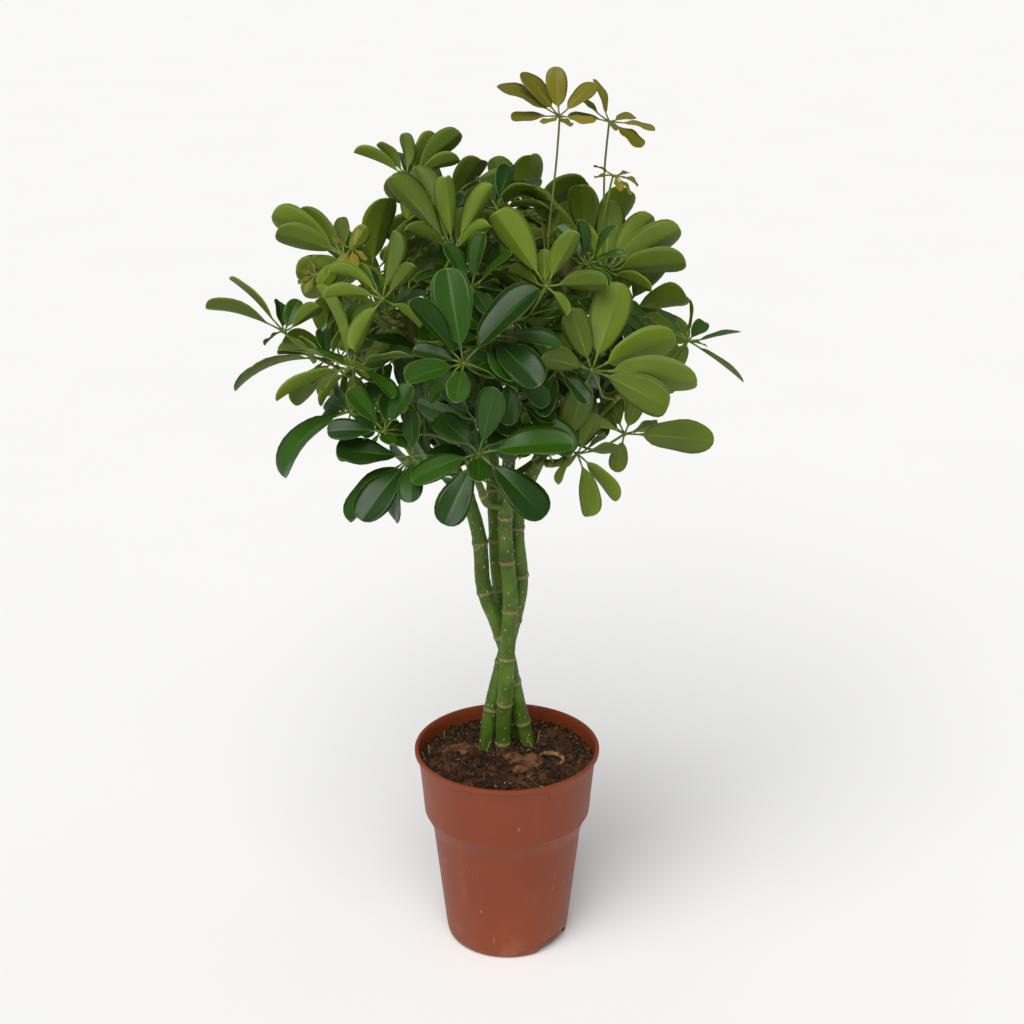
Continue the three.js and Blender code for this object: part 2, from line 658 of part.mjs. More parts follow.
// Every leaf's leaflets as unit directions with their reach and bend.
function plannedLeaflets(plan, face, seed) {
  if (plan.leaflets) {
    const named = plan.leaflets.map(([clock, lean, reach, bend]) => ({ clock, lean, reach, bend }));
    return plan.young ? named : [...named, ...rearLeaflets(named)];
  }
  const [count, size, first] = plan.whorl;
  const east = squareTo(vec(0.9, 0.1, -0.2), face);
  const north = face.clone().cross(east);
  return Array.from({ length: count }, (_, k) => {
    const turn = radians(first + (360 * k) / count + 8 * scatter(seed + k));
    const raise = radians(14 + 12 * scatter(seed + k + 0.5));
    const direction = along(east.clone().multiplyScalar(Math.cos(turn)), north, Math.sin(turn))
      .multiplyScalar(Math.cos(raise)).addScaledVector(face, Math.sin(raise));
    return { direction, reach: size * (1 + 0.12 * scatter(seed + k + 0.25)) };
  });
}

// Two more leaflets at the back of a leaf, in the widest gaps that the named ones leave.
function rearLeaflets(named) {
  const clocks = named.map(({ clock }) => (clock + 360) % 360).sort((a, b) => a - b);
  const gaps = clocks.map((clock, k) => {
    const next = clocks[k + 1] ?? clocks[0] + 360;
    return { middle: (clock + next) / 2, width: next - clock };
  });
  const reach = 0.85 * named.reduce((sum, leaflet) => sum + leaflet.reach, 0) / named.length;
  const widest = gaps.sort((a, b) => b.width - a.width).slice(0, 2);
  return widest.map(({ middle }, k) => ({ clock: middle, lean: -30 - 8 * k, reach }));
}

// The leaflet's own direction first, then nearby ones, then shorter, until it crosses nothing.
function* growthTries({ clock, lean, direction, reach }, face) {
  const base = direction ?? seen(clock, lean);
  const toward = direction ? face : seen(0, 90);
  const sweepAxis = base.clone().cross(toward).normalize();
  const swings = [0, 7, -7, 15, -15];
  const leans = [0, 9, -9, 18, -18, 28, -28, 40, -40];
  for (const size of [1, 0.87, 0.75, 0.62]) {
    for (const swing of swings) {
      for (const more of leans) {
        const swept = base.clone().applyAxisAngle(sweepAxis, radians(more));
        const tried = swept.applyAxisAngle(toward, radians(swing));
        yield { direction: tried, reach: reach * size };
      }
    }
  }
}

function growLeaf(plan, seed) {
  const face = seen(...plan.face);
  const shifts = [0, 8, -8, 16, -16, 26, -26];
  for (const shift of shifts) {
    const hub = along(vec(...plan.hub), seen(0, 90), shift);
    for (const curve of petioleCurves(hub, face, plan.foot)) {
      const stalk = petioleShell(curve, hub);
      if (!isFree(stalk)) continue;
      const leaflets = growLeaflets(plan, face, hub, seed, [...grown, stalk]);
      if (leaflets.length < Math.min(fewestLeaflets, plannedLeaflets(plan, face, seed).length)) continue;
      buds.push(curve.getPoint(0));
      grown.push(stalk, ...leaflets.map(({ shell }) => shell));
      return { hub, face, curve, leaflets };
    }
  }
  return null;
}

function growLeaflets(plan, face, hub, seed, others) {
  const near = others.filter(({ box }) => box.distanceToPoint(hub) < neighbourReach);
  const leaflets = [];
  plannedLeaflets(plan, face, seed).forEach((planned, k) => {
    const bend = planned.bend ?? (plan.young ? 16 : 22) + 14 * scatter(seed + 3 * k);
    const fold = plan.fold + 7 * scatter(seed + 5 * k);
    for (const { direction, reach } of growthTries(planned, face)) {
      const upper = squareTo(face, direction).applyAxisAngle(direction, radians(12 * scatter(seed + 7 * k)));
      const outward = squareTo(direction, face);
      const root = along(hub, outward, hubRadius);
      const leaflet = { root, direction, upper, reach: reach - hubRadius, bend, fold };
      const shell = leafletShell(leaflet);
      const neighbours = [...near, ...leaflets.map((other) => other.shell)];
      if (!isFree(shell, neighbours)) continue;
      leaflets.push({ ...leaflet, outward, shell });
      break;
    }
  });
  return leaflets;
}

// Hub corners sit half way between neighbouring leaflets, so that each leaflet gets its own side.
function hubTurns(leaflets, east, north) {
  const turnOf = ({ outward }) => Math.atan2(outward.dot(north), outward.dot(east));
  const sorted = [...leaflets].sort((a, b) => turnOf(a) - turnOf(b));
  const count = sorted.length;
  const turns = sorted.map(turnOf);
  const even = 2 * Math.PI / count;
  let drift = 0;
  turns.forEach((turn, k) => { drift += (turn - k * even) / count; });
  const sides = turns.map((turn, k) => 0.35 * turn + 0.65 * (drift + k * even));
  const corners = sides.map((side, k) => {
    const before = k === 0 ? sides[count - 1] - 2 * Math.PI : sides[k - 1];
    return (before + side) / 2;
  });
  return { sorted, corners };
}

function makeLeaf({ hub, face, curve, leaflets }) {
  const { skin, last } = petioleSkin(curve, petioleRadius);
  const east = squareTo(vec(1, 0.2, 0.1), face);
  const north = face.clone().cross(east);
  const { sorted, corners } = hubTurns(leaflets, east, north);
  const corner = (turn, radius, height) => skin.point(along(
    along(along(hub, east, radius * Math.cos(turn)), north, radius * Math.sin(turn)), face, height));
  const bottom = corners.map((turn) => corner(turn, hubRadius, -hubHeight / 2));
  const top = corners.map((turn) => corner(turn, hubRadius, hubHeight / 2));
  skin.stitch(last, bottom);
  skin.closeFlat(top);
  sorted.forEach((leaflet, k) => {
    const next = (k + 1) % sorted.length;
    const { rings, tip } = leafletRings(leaflet, 0);
    let previous = [bottom[k], bottom[next], top[next], top[k]];
    for (const ring of rings) {
      const indices = ring.map((p) => skin.point(p));
      skin.bridge(previous, indices);
      previous = indices;
    }
    skin.closeEnd(skin.point(tip), previous);
  });
  return skin;
}

// ---- assembly ----

const group = new THREE.Group();

function addPiece(name, geometry, material) {
  const mesh = new THREE.Mesh(geometry, material.clone());
  mesh.name = name;
  group.add(mesh);
}

const stems = supports.filter(({ name }) => name in stemRoutes);
const sockets = stems.map(({ curve, steps }) => sweep(
  curve, steps, stemSides, (share) => stemRadius(share) + gap));

addPiece('pot', makePot(), materials.pot);
addPiece('soil', makeSoil(sockets), materials.soil);
for (const { name, skin } of supports) addPiece(name, skin.geometry(), materials.stem);

let number = 0;
let youngNumber = 0;
leafPlan.forEach((plan, seed) => {
  const leaf = growLeaf(plan, 10 * seed);
  if (!leaf) return;
  const label = plan.young ? `young_leaf_${++youngNumber}` : `leaf_${String(++number).padStart(2, '0')}`;
  addPiece(label, makeLeaf(leaf).geometry(), plan.young ? materials.young : materials.leaf);
});

export default group;
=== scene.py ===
"""A potted umbrella tree: four braided green stems in a plastic nursery pot, under a round crown of
glossy hand-shaped leaves. Metres, +Z up, the pot's axis on the origin and its foot on the floor."""

import json
import math

import bmesh
import bpy
import numpy as np
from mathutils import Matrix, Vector, noise
from mathutils.bvhtree import BVHTree

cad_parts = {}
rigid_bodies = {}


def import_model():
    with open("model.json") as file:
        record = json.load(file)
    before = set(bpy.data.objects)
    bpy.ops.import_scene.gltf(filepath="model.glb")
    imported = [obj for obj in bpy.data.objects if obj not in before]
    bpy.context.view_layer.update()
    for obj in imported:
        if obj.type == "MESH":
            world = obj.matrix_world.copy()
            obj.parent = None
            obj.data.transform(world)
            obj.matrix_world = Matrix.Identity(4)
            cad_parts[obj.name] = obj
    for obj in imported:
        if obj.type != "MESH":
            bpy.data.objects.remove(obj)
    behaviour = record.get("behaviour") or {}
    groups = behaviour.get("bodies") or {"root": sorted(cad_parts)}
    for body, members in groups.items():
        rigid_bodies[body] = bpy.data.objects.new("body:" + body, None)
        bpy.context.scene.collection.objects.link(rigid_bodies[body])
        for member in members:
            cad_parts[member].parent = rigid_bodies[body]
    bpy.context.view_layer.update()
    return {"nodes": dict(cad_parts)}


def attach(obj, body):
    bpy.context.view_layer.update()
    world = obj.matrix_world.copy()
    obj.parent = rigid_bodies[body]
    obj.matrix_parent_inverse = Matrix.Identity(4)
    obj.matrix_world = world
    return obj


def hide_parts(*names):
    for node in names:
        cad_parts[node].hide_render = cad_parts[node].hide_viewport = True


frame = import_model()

nodes = frame["nodes"]

# Camera: a little above the plant and looking down on it, so that the soil shows over the rim.
# A long lens, as for a catalogue picture of a plant that stands 0.8 m tall.
camera = bpy.data.objects.new("camera", bpy.data.cameras.new("camera"))
camera.location = (0.0046, -1.5, 1.010)
camera.rotation_euler = (math.radians(68.7), 0, 0)
camera.data.lens = 64.6
camera.data.sensor_width = 36
bpy.context.scene.collection.objects.link(camera)
bpy.context.scene.camera = camera

# ---------------------------------------------------------------------------------------------
# Pot. A 17 cm nursery pot, injection moulded in one piece from terracotta-coloured polypropylene.
# It has a thin rolled lip, a collar that lets pots stack, a foot ring and two pressed-in drain
# arches. The plastic is satin, paler where it is rubbed, and a little dusty towards the foot.

MM = 0.001
wall = 1.3
foot_radius = 53.0
pot_sides = 192
arch_width = 44.0
arch_height = 13.0
arch_depth = 7.0
arch_steps = 24
arch_run = 30.0
arch_turns = (-37, 143)
wall_line = [(57.2, 8), (58, 13.5), (68.4, 110), (68.9, 113.5), (69.8, 117), (71.2, 120.8), (73.2, 125.2),
             (75.1, 129.2), (76.0, 131.2), (76.55, 131.9), (76.7, 132.8), (77, 136), (78.9, 160), (80.9, 180),
             (81.6, 187)]


class Wire:
    """An output of a shader node. Sums and products of wires and numbers add Math nodes."""

    def __init__(self, finish, socket):
        self.finish = finish
        self.socket = socket

    def maths(self, operation, first, second):
        return self.finish.node("ShaderNodeMath", {"operation": operation}, {0: first, 1: second})

    def __add__(self, other):
        return self.maths("ADD", self, other)

    def __sub__(self, other):
        return self.maths("SUBTRACT", self, other)

    def __rsub__(self, other):
        return self.maths("SUBTRACT", other, self)

    def __mul__(self, other):
        return self.maths("MULTIPLY", self, other)

    def __truediv__(self, other):
        return self.maths("DIVIDE", self, other)

    __radd__ = __add__
    __rmul__ = __mul__


class Finish:
    """A material being made: node() adds any node, and the rest are the few that are used often."""

    def __init__(self, name):
        self.material = bpy.data.materials.new(name)
        self.material.use_nodes = True
        self.tree = self.material.node_tree
        self.tree.nodes.clear()

    def node(self, kind, settings, sockets, out=0):
        made = self.tree.nodes.new(kind)
        for key, value in settings.items():
            setattr(made, key, value)
        for key, value in sockets.items():
            if isinstance(value, Wire):
                self.tree.links.new(value.socket, made.inputs[key])
            else:
                made.inputs[key].default_value = value
        return Wire(self, made.outputs[out])

    def place(self):
        return self.node("ShaderNodeTexCoord", {}, {}, "Object")

    def stretched(self, scale):
        return self.node("ShaderNodeMapping", {}, {"Vector": self.place(), "Scale": scale})

    def speckle(self, scale, detail=3.0, vector=None):
        sockets = {"Vector": vector or self.place(), "Scale": scale, "Detail": detail}
        return self.node("ShaderNodeTexNoise", {}, sockets)

    def attribute(self, name, out="Fac"):
        return self.node("ShaderNodeAttribute", {"attribute_name": name}, {}, out)

    def step(self, value, low, high):
        """Rises smoothly from 0 where the value is low to 1 where it is high."""
        smooth = {"interpolation_type": "SMOOTHSTEP"}
        return self.node("ShaderNodeMapRange", smooth, {0: value, 1: low, 2: high})

    def blend(self, factor, first, second):
        return self.node("ShaderNodeMix", {"data_type": "RGBA"}, {0: factor, 6: first, 7: second}, 2)

    def bump(self, height, distance, strength=1.0):
        return self.node("ShaderNodeBump", {}, {"Height": height, "Distance": distance, "Strength": strength})

    def surface(self, sockets):
        shader = self.node("ShaderNodeBsdfPrincipled", {}, sockets)
        result = self.tree.nodes.new("ShaderNodeOutputMaterial")
        self.tree.links.new(shader.socket, result.inputs["Surface"])
        return self.material


def colour(code):
    """A web colour as linear red, green, blue and alpha."""
    shares = [int(code[k:k + 2], 16) / 255 for k in (0, 2, 4)]
    linear = [s / 12.92 if s <= 0.04045 else ((s + 0.055) / 1.055) ** 2.4 for s in shares]
    return (*linear, 1.0)


def new_object(name, mesh, *materials):
    """An object in the scene for a finished mesh, smooth except at creases."""
    for material in materials:
        mesh.materials.append(material)
    mesh.shade_smooth()
    made = bpy.data.objects.new(name, mesh)
    bpy.context.scene.collection.objects.link(made)
    return made


def mesh_from(body, name):
    """A mesh from an edit mesh, which is freed."""
    mesh = bpy.data.meshes.new(name)
    body.to_mesh(mesh)
    body.free()
    return mesh


def settle(source, name, *materials):
    """What an object's modifiers make of it, as a plain mesh in a new object. The source goes."""
    bpy.context.view_layer.update()
    graph = bpy.context.evaluated_depsgraph_get()
    mesh = bpy.data.meshes.new_from_object(source.evaluated_get(graph))
    mesh.name = name
    bpy.data.objects.remove(source)
    mesh.materials.clear()
    return new_object(name, mesh, *materials)


def level_ring(body, radius, height, sides):
    """A level ring of corners round the pot's axis, from millimetres."""
    return [body.verts.new((radius * MM * math.cos(t), radius * MM * math.sin(t), height * MM))
            for t in (2 * math.pi * k / sides for k in range(sides))]


def turned(profile, sides, name):
    """A closed body of revolution from (radius, height) points in millimetres, pole to pole or in a ring."""
    body = bmesh.new()
    rings = []
    for radius, height in profile:
        if radius == 0:
            rings.append([body.verts.new((0, 0, height * MM))] * sides)
            continue
        rings.append(level_ring(body, radius, height, sides))
    for lower, upper in zip(rings, rings[1:]):
        for k in range(sides):
            loop = [lower[k], lower[(k + 1) % sides], upper[(k + 1) % sides], upper[k]]
            body.faces.new(list(dict.fromkeys(loop)))
    bmesh.ops.recalc_face_normals(body, faces=body.faces)
    return new_object(name, mesh_from(body, name))


def arch_block(turn, grow):
    """The tool that presses a drain arch: a low doorway shape that runs in from outside the foot."""
    half = arch_width / 2 + grow
    doorway = [(-half, -2 - grow), (half, -2 - grow), (half, 1)]
    crown = arch_height + grow
    for k in range(1, arch_steps):
        angle = math.pi * k / arch_steps
        doorway.append((half * math.cos(angle), 1 + (crown - 1) * math.sin(angle) ** 0.5))
    doorway.append((-half, 1))
    near = foot_radius - arch_depth - grow
    along = Vector((math.cos(math.radians(turn)), math.sin(math.radians(turn)), 0))
    across = Vector((-along.y, along.x, 0))
    body = bmesh.new()
    ends = []
    for distance in (near, near + arch_run):
        corners = [along * distance + across * x + Vector((0, 0, z)) for x, z in doorway]
        ends.append([body.verts.new(corner * MM) for corner in corners])
    for k in range(len(doorway)):
        after = (k + 1) % len(doorway)
        body.faces.new([ends[0][k], ends[0][after], ends[1][after], ends[1][k]])
    body.faces.new(ends[0])
    body.faces.new(ends[1])
    bmesh.ops.recalc_face_normals(body, faces=body.faces)
    return new_object("arch", mesh_from(body, "arch"))


def cut(body, operation, tool):
    """Cuts a body with a tool, or adds the tool to it, and removes the tool."""
    modifier = body.modifiers.new(operation, "BOOLEAN")
    modifier.operation = operation
    modifier.solver = "EXACT"
    modifier.object = tool
    made = settle(body, body.name)
    bpy.data.objects.remove(tool)
    return made


lip = [(84.2, 190.1), (84.7, 190.3), (85, 190.9), (85, 193.5), (84.7, 194.2), (84.1, 194.5), (82.6, 194.5),
       (81.9, 194.2), (81.3, 193.4)]
outside = [(0, 0), (15.4, 0), (16, 0.4), (18, 3), (48.5, 3), (49.5, 0.4), (50, 0), (52.4, 0), (53, 0.3),
           (54.6, 1.2), (55.8, 2.6), (56.6, 4.6)]
inside = [(radius - wall, height) for radius, height in reversed(wall_line)]
pot_floor = [(54.5, 5.4), (52.5, 4.6), (0, 4.6)]
pocket_room = [(0, 1.5), (54.2, 1.5), (57.2, 30), (0, 30)]
pot = turned(outside + wall_line + lip + inside + pot_floor, pot_sides, "pot_shell")
for turn in arch_turns:
    inner = turned(pocket_room, pot_sides, "pocket_room")
    pocket = cut(arch_block(turn, wall), "INTERSECT", inner)
    pot = cut(pot, "UNION", pocket)
    pot = cut(pot, "DIFFERENCE", arch_block(turn, 0))

terracotta = Finish("terracotta_plastic")
cloud = terracotta.speckle(9.0, 4.0)
grain = terracotta.speckle(240.0, 2.0)
rubbed = terracotta.step(terracotta.speckle(34.0, 6.0, terracotta.stretched((1, 1, 0.35))), 0.6, 0.8)
scuffs = terracotta.step(terracotta.speckle(150.0, 8.0, terracotta.stretched((1, 1, 0.4))), 0.68, 0.74)
height = terracotta.node("ShaderNodeSeparateXYZ", {}, {0: terracotta.place()}, "Z")
dust = terracotta.step(height, 0.05, 0.0) * terracotta.step(terracotta.speckle(60.0, 5.0), 0.42, 0.7)
plain = terracotta.blend(terracotta.step(cloud, 0.3, 0.7), colour("7e3719"), colour("873d1b"))
worn = terracotta.blend(rubbed * 0.12 + scuffs * 0.3, plain, colour("c08a68"))
dusty = terracotta.blend(dust * 0.14, worn, colour("b99478"))
terracotta_skin = terracotta.surface({
    "Base Color": dusty,
    "Roughness": 0.44 + 0.12 * rubbed + 0.1 * grain,
    "Normal": terracotta.bump(grain + 3.0 * cloud, 0.00012),
    "Specular IOR Level": 0.32,
})
pot = settle(pot, "pot_shell", terracotta_skin)
pot.data.set_sharp_from_angle(angle=math.radians(38))
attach(pot, "root")
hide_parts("pot")

# ---------------------------------------------------------------------------------------------
# Soil. Peat compost, pressed in by hand to a finger's width below the rim and left loose on top.
# The body is one closed mass that fills the pot; its surface heaves a little round the stems.

soil_height = 182.0
soil_rings = 44
soil_sides = 132
wall_reach = 79.2
soil_flanks = [(74.6, 133), (66.6, 112), (56, 14), (45, 14), (45, 5.2)]


def soil_level(x, y):
    """The height of the soil's surface in millimetres."""
    from_stems = math.hypot(x, y - 18)
    mound = 4 * math.exp(-((from_stems / 30) ** 2))
    waves = 1.1 * math.sin(x / 9 + 1) * math.cos(y / 11) + 0.6 * math.sin((x + 2 * y) / 7)
    clods = 3.4 * noise.noise((x / 8, y / 8, 0.3)) + 2.0 * noise.noise((x / 3.6, y / 3.6, 4.1))
    settled = 1 - min(1, max(0, math.hypot(x, y) - 66) / 13) * 0.75
    return soil_height + mound + (waves + clods) * settled


def soil_body(name, whole):
    """The soil's surface, and with it, when whole, the sides and the underside."""
    body = bmesh.new()
    rings = []
    for ring in range(1, soil_rings + 1):
        radius = wall_reach * ring / soil_rings
        turns = [2 * math.pi * k / soil_sides for k in range(soil_sides)]
        points = [(radius * math.cos(t), radius * math.sin(t)) for t in turns]
        rings.append([body.verts.new((x * MM, y * MM, soil_level(x, y) * MM)) for x, y in points])
    if whole:
        for radius, height in soil_flanks:
            rings.append(level_ring(body, radius, height, soil_sides))
    middle = body.verts.new((0, 0, soil_level(0, 0) * MM))
    for k in range(soil_sides):
        body.faces.new([middle, rings[0][k], rings[0][(k + 1) % soil_sides]])
        for inner, outer in zip(rings, rings[1:]):
            after = (k + 1) % soil_sides
            body.faces.new([inner[k], outer[k], outer[after], inner[after]])
    if whole:
        body.faces.new(list(reversed(rings[-1])))
    return mesh_from(body, name)


peat = Finish("peat")
clump = peat.speckle(170.0, 6.0)
patch = peat.speckle(38.0, 4.0)
strand = peat.speckle(420.0, 4.0, peat.stretched((1, 0.25, 1)))
dark = peat.blend(peat.step(clump, 0.35, 0.68), colour("140a06"), colour("38200f"))
brown = peat.blend(peat.step(patch, 0.46, 0.66) * 0.7, dark, colour("5f3d22"))
threads = peat.blend(peat.step(strand, 0.6, 0.7) * 0.5, brown, colour("8a6742"))
peat_skin = peat.surface({
    "Base Color": threads,
    "Roughness": 0.95 - 0.15 * clump,
    "Normal": peat.bump(clump + 0.5 * strand, 0.0016),
    "Specular IOR Level": 0.25,
})
soil = new_object("peat_bed", soil_body("peat_bed", True), peat_skin)
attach(soil, "root")
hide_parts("soil")

# ---------------------------------------------------------------------------------------------
# What lies on the soil: crumbs of peat, bark chips, tan coir fibres, pale rootlets and perlite, all
# loose and strewn by one tree of nodes. Lumps of coir, peat clods, a curl of bark and a few straws
# are set one by one.


class Growth:
    def __init__(self, name, inputs):
        self.tree = bpy.data.node_groups.new(name, "GeometryNodeTree")
        for label, kind in inputs.items():
            self.tree.interface.new_socket(label, in_out="INPUT", socket_type="NodeSocket" + kind)
        self.tree.interface.new_socket("Result", in_out="OUTPUT", socket_type="NodeSocketGeometry")
        self.given = self.tree.nodes.new("NodeGroupInput").outputs

    def node(self, kind, settings, sockets, out=0):
        made = self.tree.nodes.new(kind)
        for key, value in settings.items():
            setattr(made, key, value)
        for key, value in sockets.items():
            if isinstance(value, bpy.types.NodeSocket):
                self.tree.links.new(value, made.inputs[key])
            else:
                made.inputs[key].default_value = value
        return made.outputs[out]

    def maths(self, operation, first, second):
        return self.node("ShaderNodeMath", {"operation": operation}, {0: first, 1: second})

    def finish(self, geometry):
        real = self.node("GeometryNodeRealizeInstances", {}, {0: geometry})
        finish = {"Geometry": real, "Material": self.given["Finish"]}
        painted = self.node("GeometryNodeSetMaterial", {}, finish)
        result = self.tree.nodes.new("NodeGroupOutput")
        self.tree.links.new(painted, result.inputs[0])
        return self.tree


def strewing_tree():
    """Bits strewn over a ground: turned every way, leaning at most Lean, and of mixed sizes."""
    growth = Growth("strewn_bits", {
        "Ground": "Geometry", "Bit": "Object", "Density": "Float", "Smallest": "Float", "Largest": "Float",
        "Lean": "Float", "Seed": "Int", "Finish": "Material"})
    given = growth.given
    spread = growth.node("GeometryNodeDistributePointsOnFaces", {}, {
        "Mesh": given["Ground"], "Density": given["Density"], "Seed": given["Seed"]}, "Points")
    bit = growth.node("GeometryNodeObjectInfo", {}, {"Object": given["Bit"]}, "Geometry")
    back = growth.maths("MULTIPLY", given["Lean"], -1.0)
    least = growth.node("ShaderNodeCombineXYZ", {}, {0: back, 1: back, 2: -math.pi})
    most = growth.node("ShaderNodeCombineXYZ", {}, {0: given["Lean"], 1: given["Lean"], 2: math.pi})
    turn = growth.node("FunctionNodeRandomValue", {"data_type": "FLOAT_VECTOR"},
                       {0: least, 1: most, 8: given["Seed"]})
    size = growth.node("FunctionNodeRandomValue", {"data_type": "FLOAT"},
                       {2: given["Smallest"], 3: given["Largest"], 8: given["Seed"]}, 1)
    strewn = growth.node("GeometryNodeInstanceOnPoints", {}, {
        "Points": spread, "Instance": bit, "Rotation": turn, "Scale": size})
    return growth.finish(strewn)


strewing = strewing_tree()


def grow(name, mesh, tree, finish, **values):
    """Runs a tree of nodes on a mesh and keeps the result as a plain object."""
    holder = bpy.data.objects.new(name + "_source", mesh)
    bpy.context.scene.collection.objects.link(holder)
    modifier = holder.modifiers.new(tree.name, "NODES")
    modifier.node_group = tree
    names = {item.name: item.identifier for item in tree.interface.items_tree if item.in_out == "INPUT"}
    modifier[names["Finish"]] = finish
    for key, value in values.items():
        modifier[names[key]] = value
    return settle(holder, name, finish)


def lumpy_bit(name, scale, roughness, seed):
    """A small irregular grain, as a ball of twenty faces pushed in and out."""
    body = bmesh.new()
    bmesh.ops.create_icosphere(body, subdivisions=1, radius=1)
    for v in body.verts:
        v.co *= 1 + roughness * noise.noise(v.co * 1.3 + Vector((seed, 0, 0)))
        v.co = Vector((v.co.x * scale[0], v.co.y * scale[1], v.co.z * scale[2]))
    return new_object(name, mesh_from(body, name))


def skin(rings, end=None):
    """Points and faces of a closed skin over rings of equal count, with a pole at each end."""
    count = len(rings[0])
    points = [p for ring in rings for p in ring]
    faces = []
    for k in range(len(rings) - 1):
        for j in range(count):
            after = (j + 1) % count
            faces.append((k * count + j, k * count + after, (k + 1) * count + after, (k + 1) * count + j))
    last = (len(rings) - 1) * count
    points += [np.mean(rings[0], axis=0)]
    points += [np.mean(rings[-1], axis=0) if end is None else end]
    for j in range(count):
        after = (j + 1) % count
        faces.append((len(points) - 2, after, j))
        faces.append((len(points) - 1, last + j, last + after))
    return points, faces


def unit(vector):
    return vector / max(np.linalg.norm(vector), 1e-12)


def tube_rings(line, radii, sides):
    """Rings square to a line of points, without twist."""
    line = np.array(line, float)
    tangents = np.gradient(line, axis=0)
    sideways = np.array([0.8, 0.6, 0.0])
    rings = []
    for centre, tangent, radius in zip(line, tangents, radii):
        tangent = unit(tangent)
        sideways = unit(sideways - tangent * (sideways @ tangent))
        upwards = np.cross(tangent, sideways)
        rings.append([centre + radius * (math.cos(t) * sideways + math.sin(t) * upwards)
                      for t in (2 * math.pi * j / sides for j in range(sides))])
    return rings


def mesh_of(name, points, faces):
    mesh = bpy.data.meshes.new(name)
    mesh.from_pydata([tuple(p) for p in points], [], faces)
    mesh.update()
    return mesh


def fibre_bit(name, bow, thickness, seed):
    """A thin crooked strand, one unit long, bowed to one side."""
    places = np.linspace(0, 1, 7)
    line = [(t - 0.5, bow * math.sin(math.pi * t) + 0.05 * math.sin(7 * t + seed),
             0.06 * math.sin(9 * t + seed)) for t in places]
    radii = [thickness * (1.1 - 0.6 * t) for t in places]
    return new_object(name, mesh_of(name, *skin(tube_rings(line, radii, 3))))


def plain_finish(name, light, deep, scale, roughness):
    """A dull natural material that drifts between two colours."""
    finish = Finish(name)
    drift = finish.speckle(scale, 4.0)
    return finish.surface({
        "Base Color": finish.blend(finish.step(drift, 0.35, 0.65), colour(deep), colour(light)),
        "Roughness": roughness + 0.1 * drift,
        "Normal": finish.bump(drift, 0.0004),
        "Specular IOR Level": 0.3,
    })


crumb_skin = plain_finish("peat_crumbs", "452a17", "170c06", 210.0, 0.85)
coir_skin = plain_finish("coir", "9a7348", "4f3119", 160.0, 0.75)
rootlet_skin = plain_finish("rootlets", "c9b48a", "8f7348", 120.0, 0.7)
perlite_skin = plain_finish("perlite", "e6e2d8", "b5ac9c", 300.0, 0.8)
husk_skin = plain_finish("coir_husk", "7c5230", "3d2412", 130.0, 0.85)

litter = [
    ("crumbs_large", lumpy_bit("crumb_a", (1, 0.8, 0.7), 0.9, 1.0), crumb_skin, 30000, 1.0, 2.8, 0.7, 3),
    ("crumbs_small", lumpy_bit("crumb_b", (1, 0.7, 0.8), 0.9, 5.0), crumb_skin, 60000, 0.4, 1.2, 1.2, 8),
    ("bark_chips", lumpy_bit("chip", (1.3, 0.7, 0.35), 0.8, 2.5), husk_skin, 11000, 1.0, 2.6, 0.8, 5),
    ("coir_fibres_long", fibre_bit("fibre_a", 0.22, 0.014, 1.0), coir_skin, 15000, 7.0, 16.0, 0.35, 11),
    ("coir_fibres_short", fibre_bit("fibre_b", -0.1, 0.03, 4.0), coir_skin, 34000, 3.0, 7.0, 0.6, 12),
    ("rootlets", fibre_bit("fibre_c", 0.3, 0.018, 2.0), rootlet_skin, 5200, 4.0, 10.0, 0.8, 17),
    ("perlite", lumpy_bit("perlite_grain", (1, 0.9, 0.8), 0.7, 9.0), perlite_skin, 3000, 0.35, 0.8, 1.5, 21),
]
for name, bit, finish, density, smallest, largest, lean, seed in litter:
    ground = soil_body(name + "_ground", False)
    strewn = grow(name, ground, strewing, finish, Bit=bit, Density=float(density), Smallest=smallest * MM,
                  Largest=largest * MM, Lean=lean, Seed=seed)
    bpy.data.objects.remove(bit)
    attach(strewn, "root")


def lump(name, centre, size, seed, finish):
    """A crumbling lump: a fine ball pushed in and out by noise at two scales."""
    body = bmesh.new()
    bmesh.ops.create_icosphere(body, subdivisions=4, radius=1)
    for v in body.verts:
        rough = 0.34 * noise.noise(v.co * 1.6 + Vector((seed, 0, 0)))
        fine = 0.14 * noise.noise(v.co * 5.0 + Vector((0, seed, 0))) + 0.06 * noise.noise(v.co * 12.0)
        p = v.co * (1 + rough + fine)
        v.co = Vector((centre[0] + p.x * size[0], centre[1] + p.y * size[1], centre[2] + p.z * size[2])) * MM
    made = new_object(name, mesh_from(body, name), finish)
    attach(made, "root")


lump("coir_lump", (20, -12, soil_level(20, -12)), (15, 11, 6.5), 3.1, husk_skin)
lump("coir_lump_small", (5, -5, soil_level(5, -5)), (8, 7, 4.5), 7.7, husk_skin)
lump("coir_lump_front", (14, -26, soil_level(14, -26) - 0.5), (9, 6, 3.6), 9.2, husk_skin)
lump("peat_clod_left", (-44, 14, soil_level(-44, 14) - 1), (17, 12, 5.5), 11.9, husk_skin)
lump("peat_clod_back", (-30, 34, soil_level(-30, 34) - 1), (10, 8, 4.5), 13.4, crumb_skin)
lump("peat_clod_right", (50, 22, soil_level(50, 22) - 1), (13, 10, 5.0), 15.3, crumb_skin)

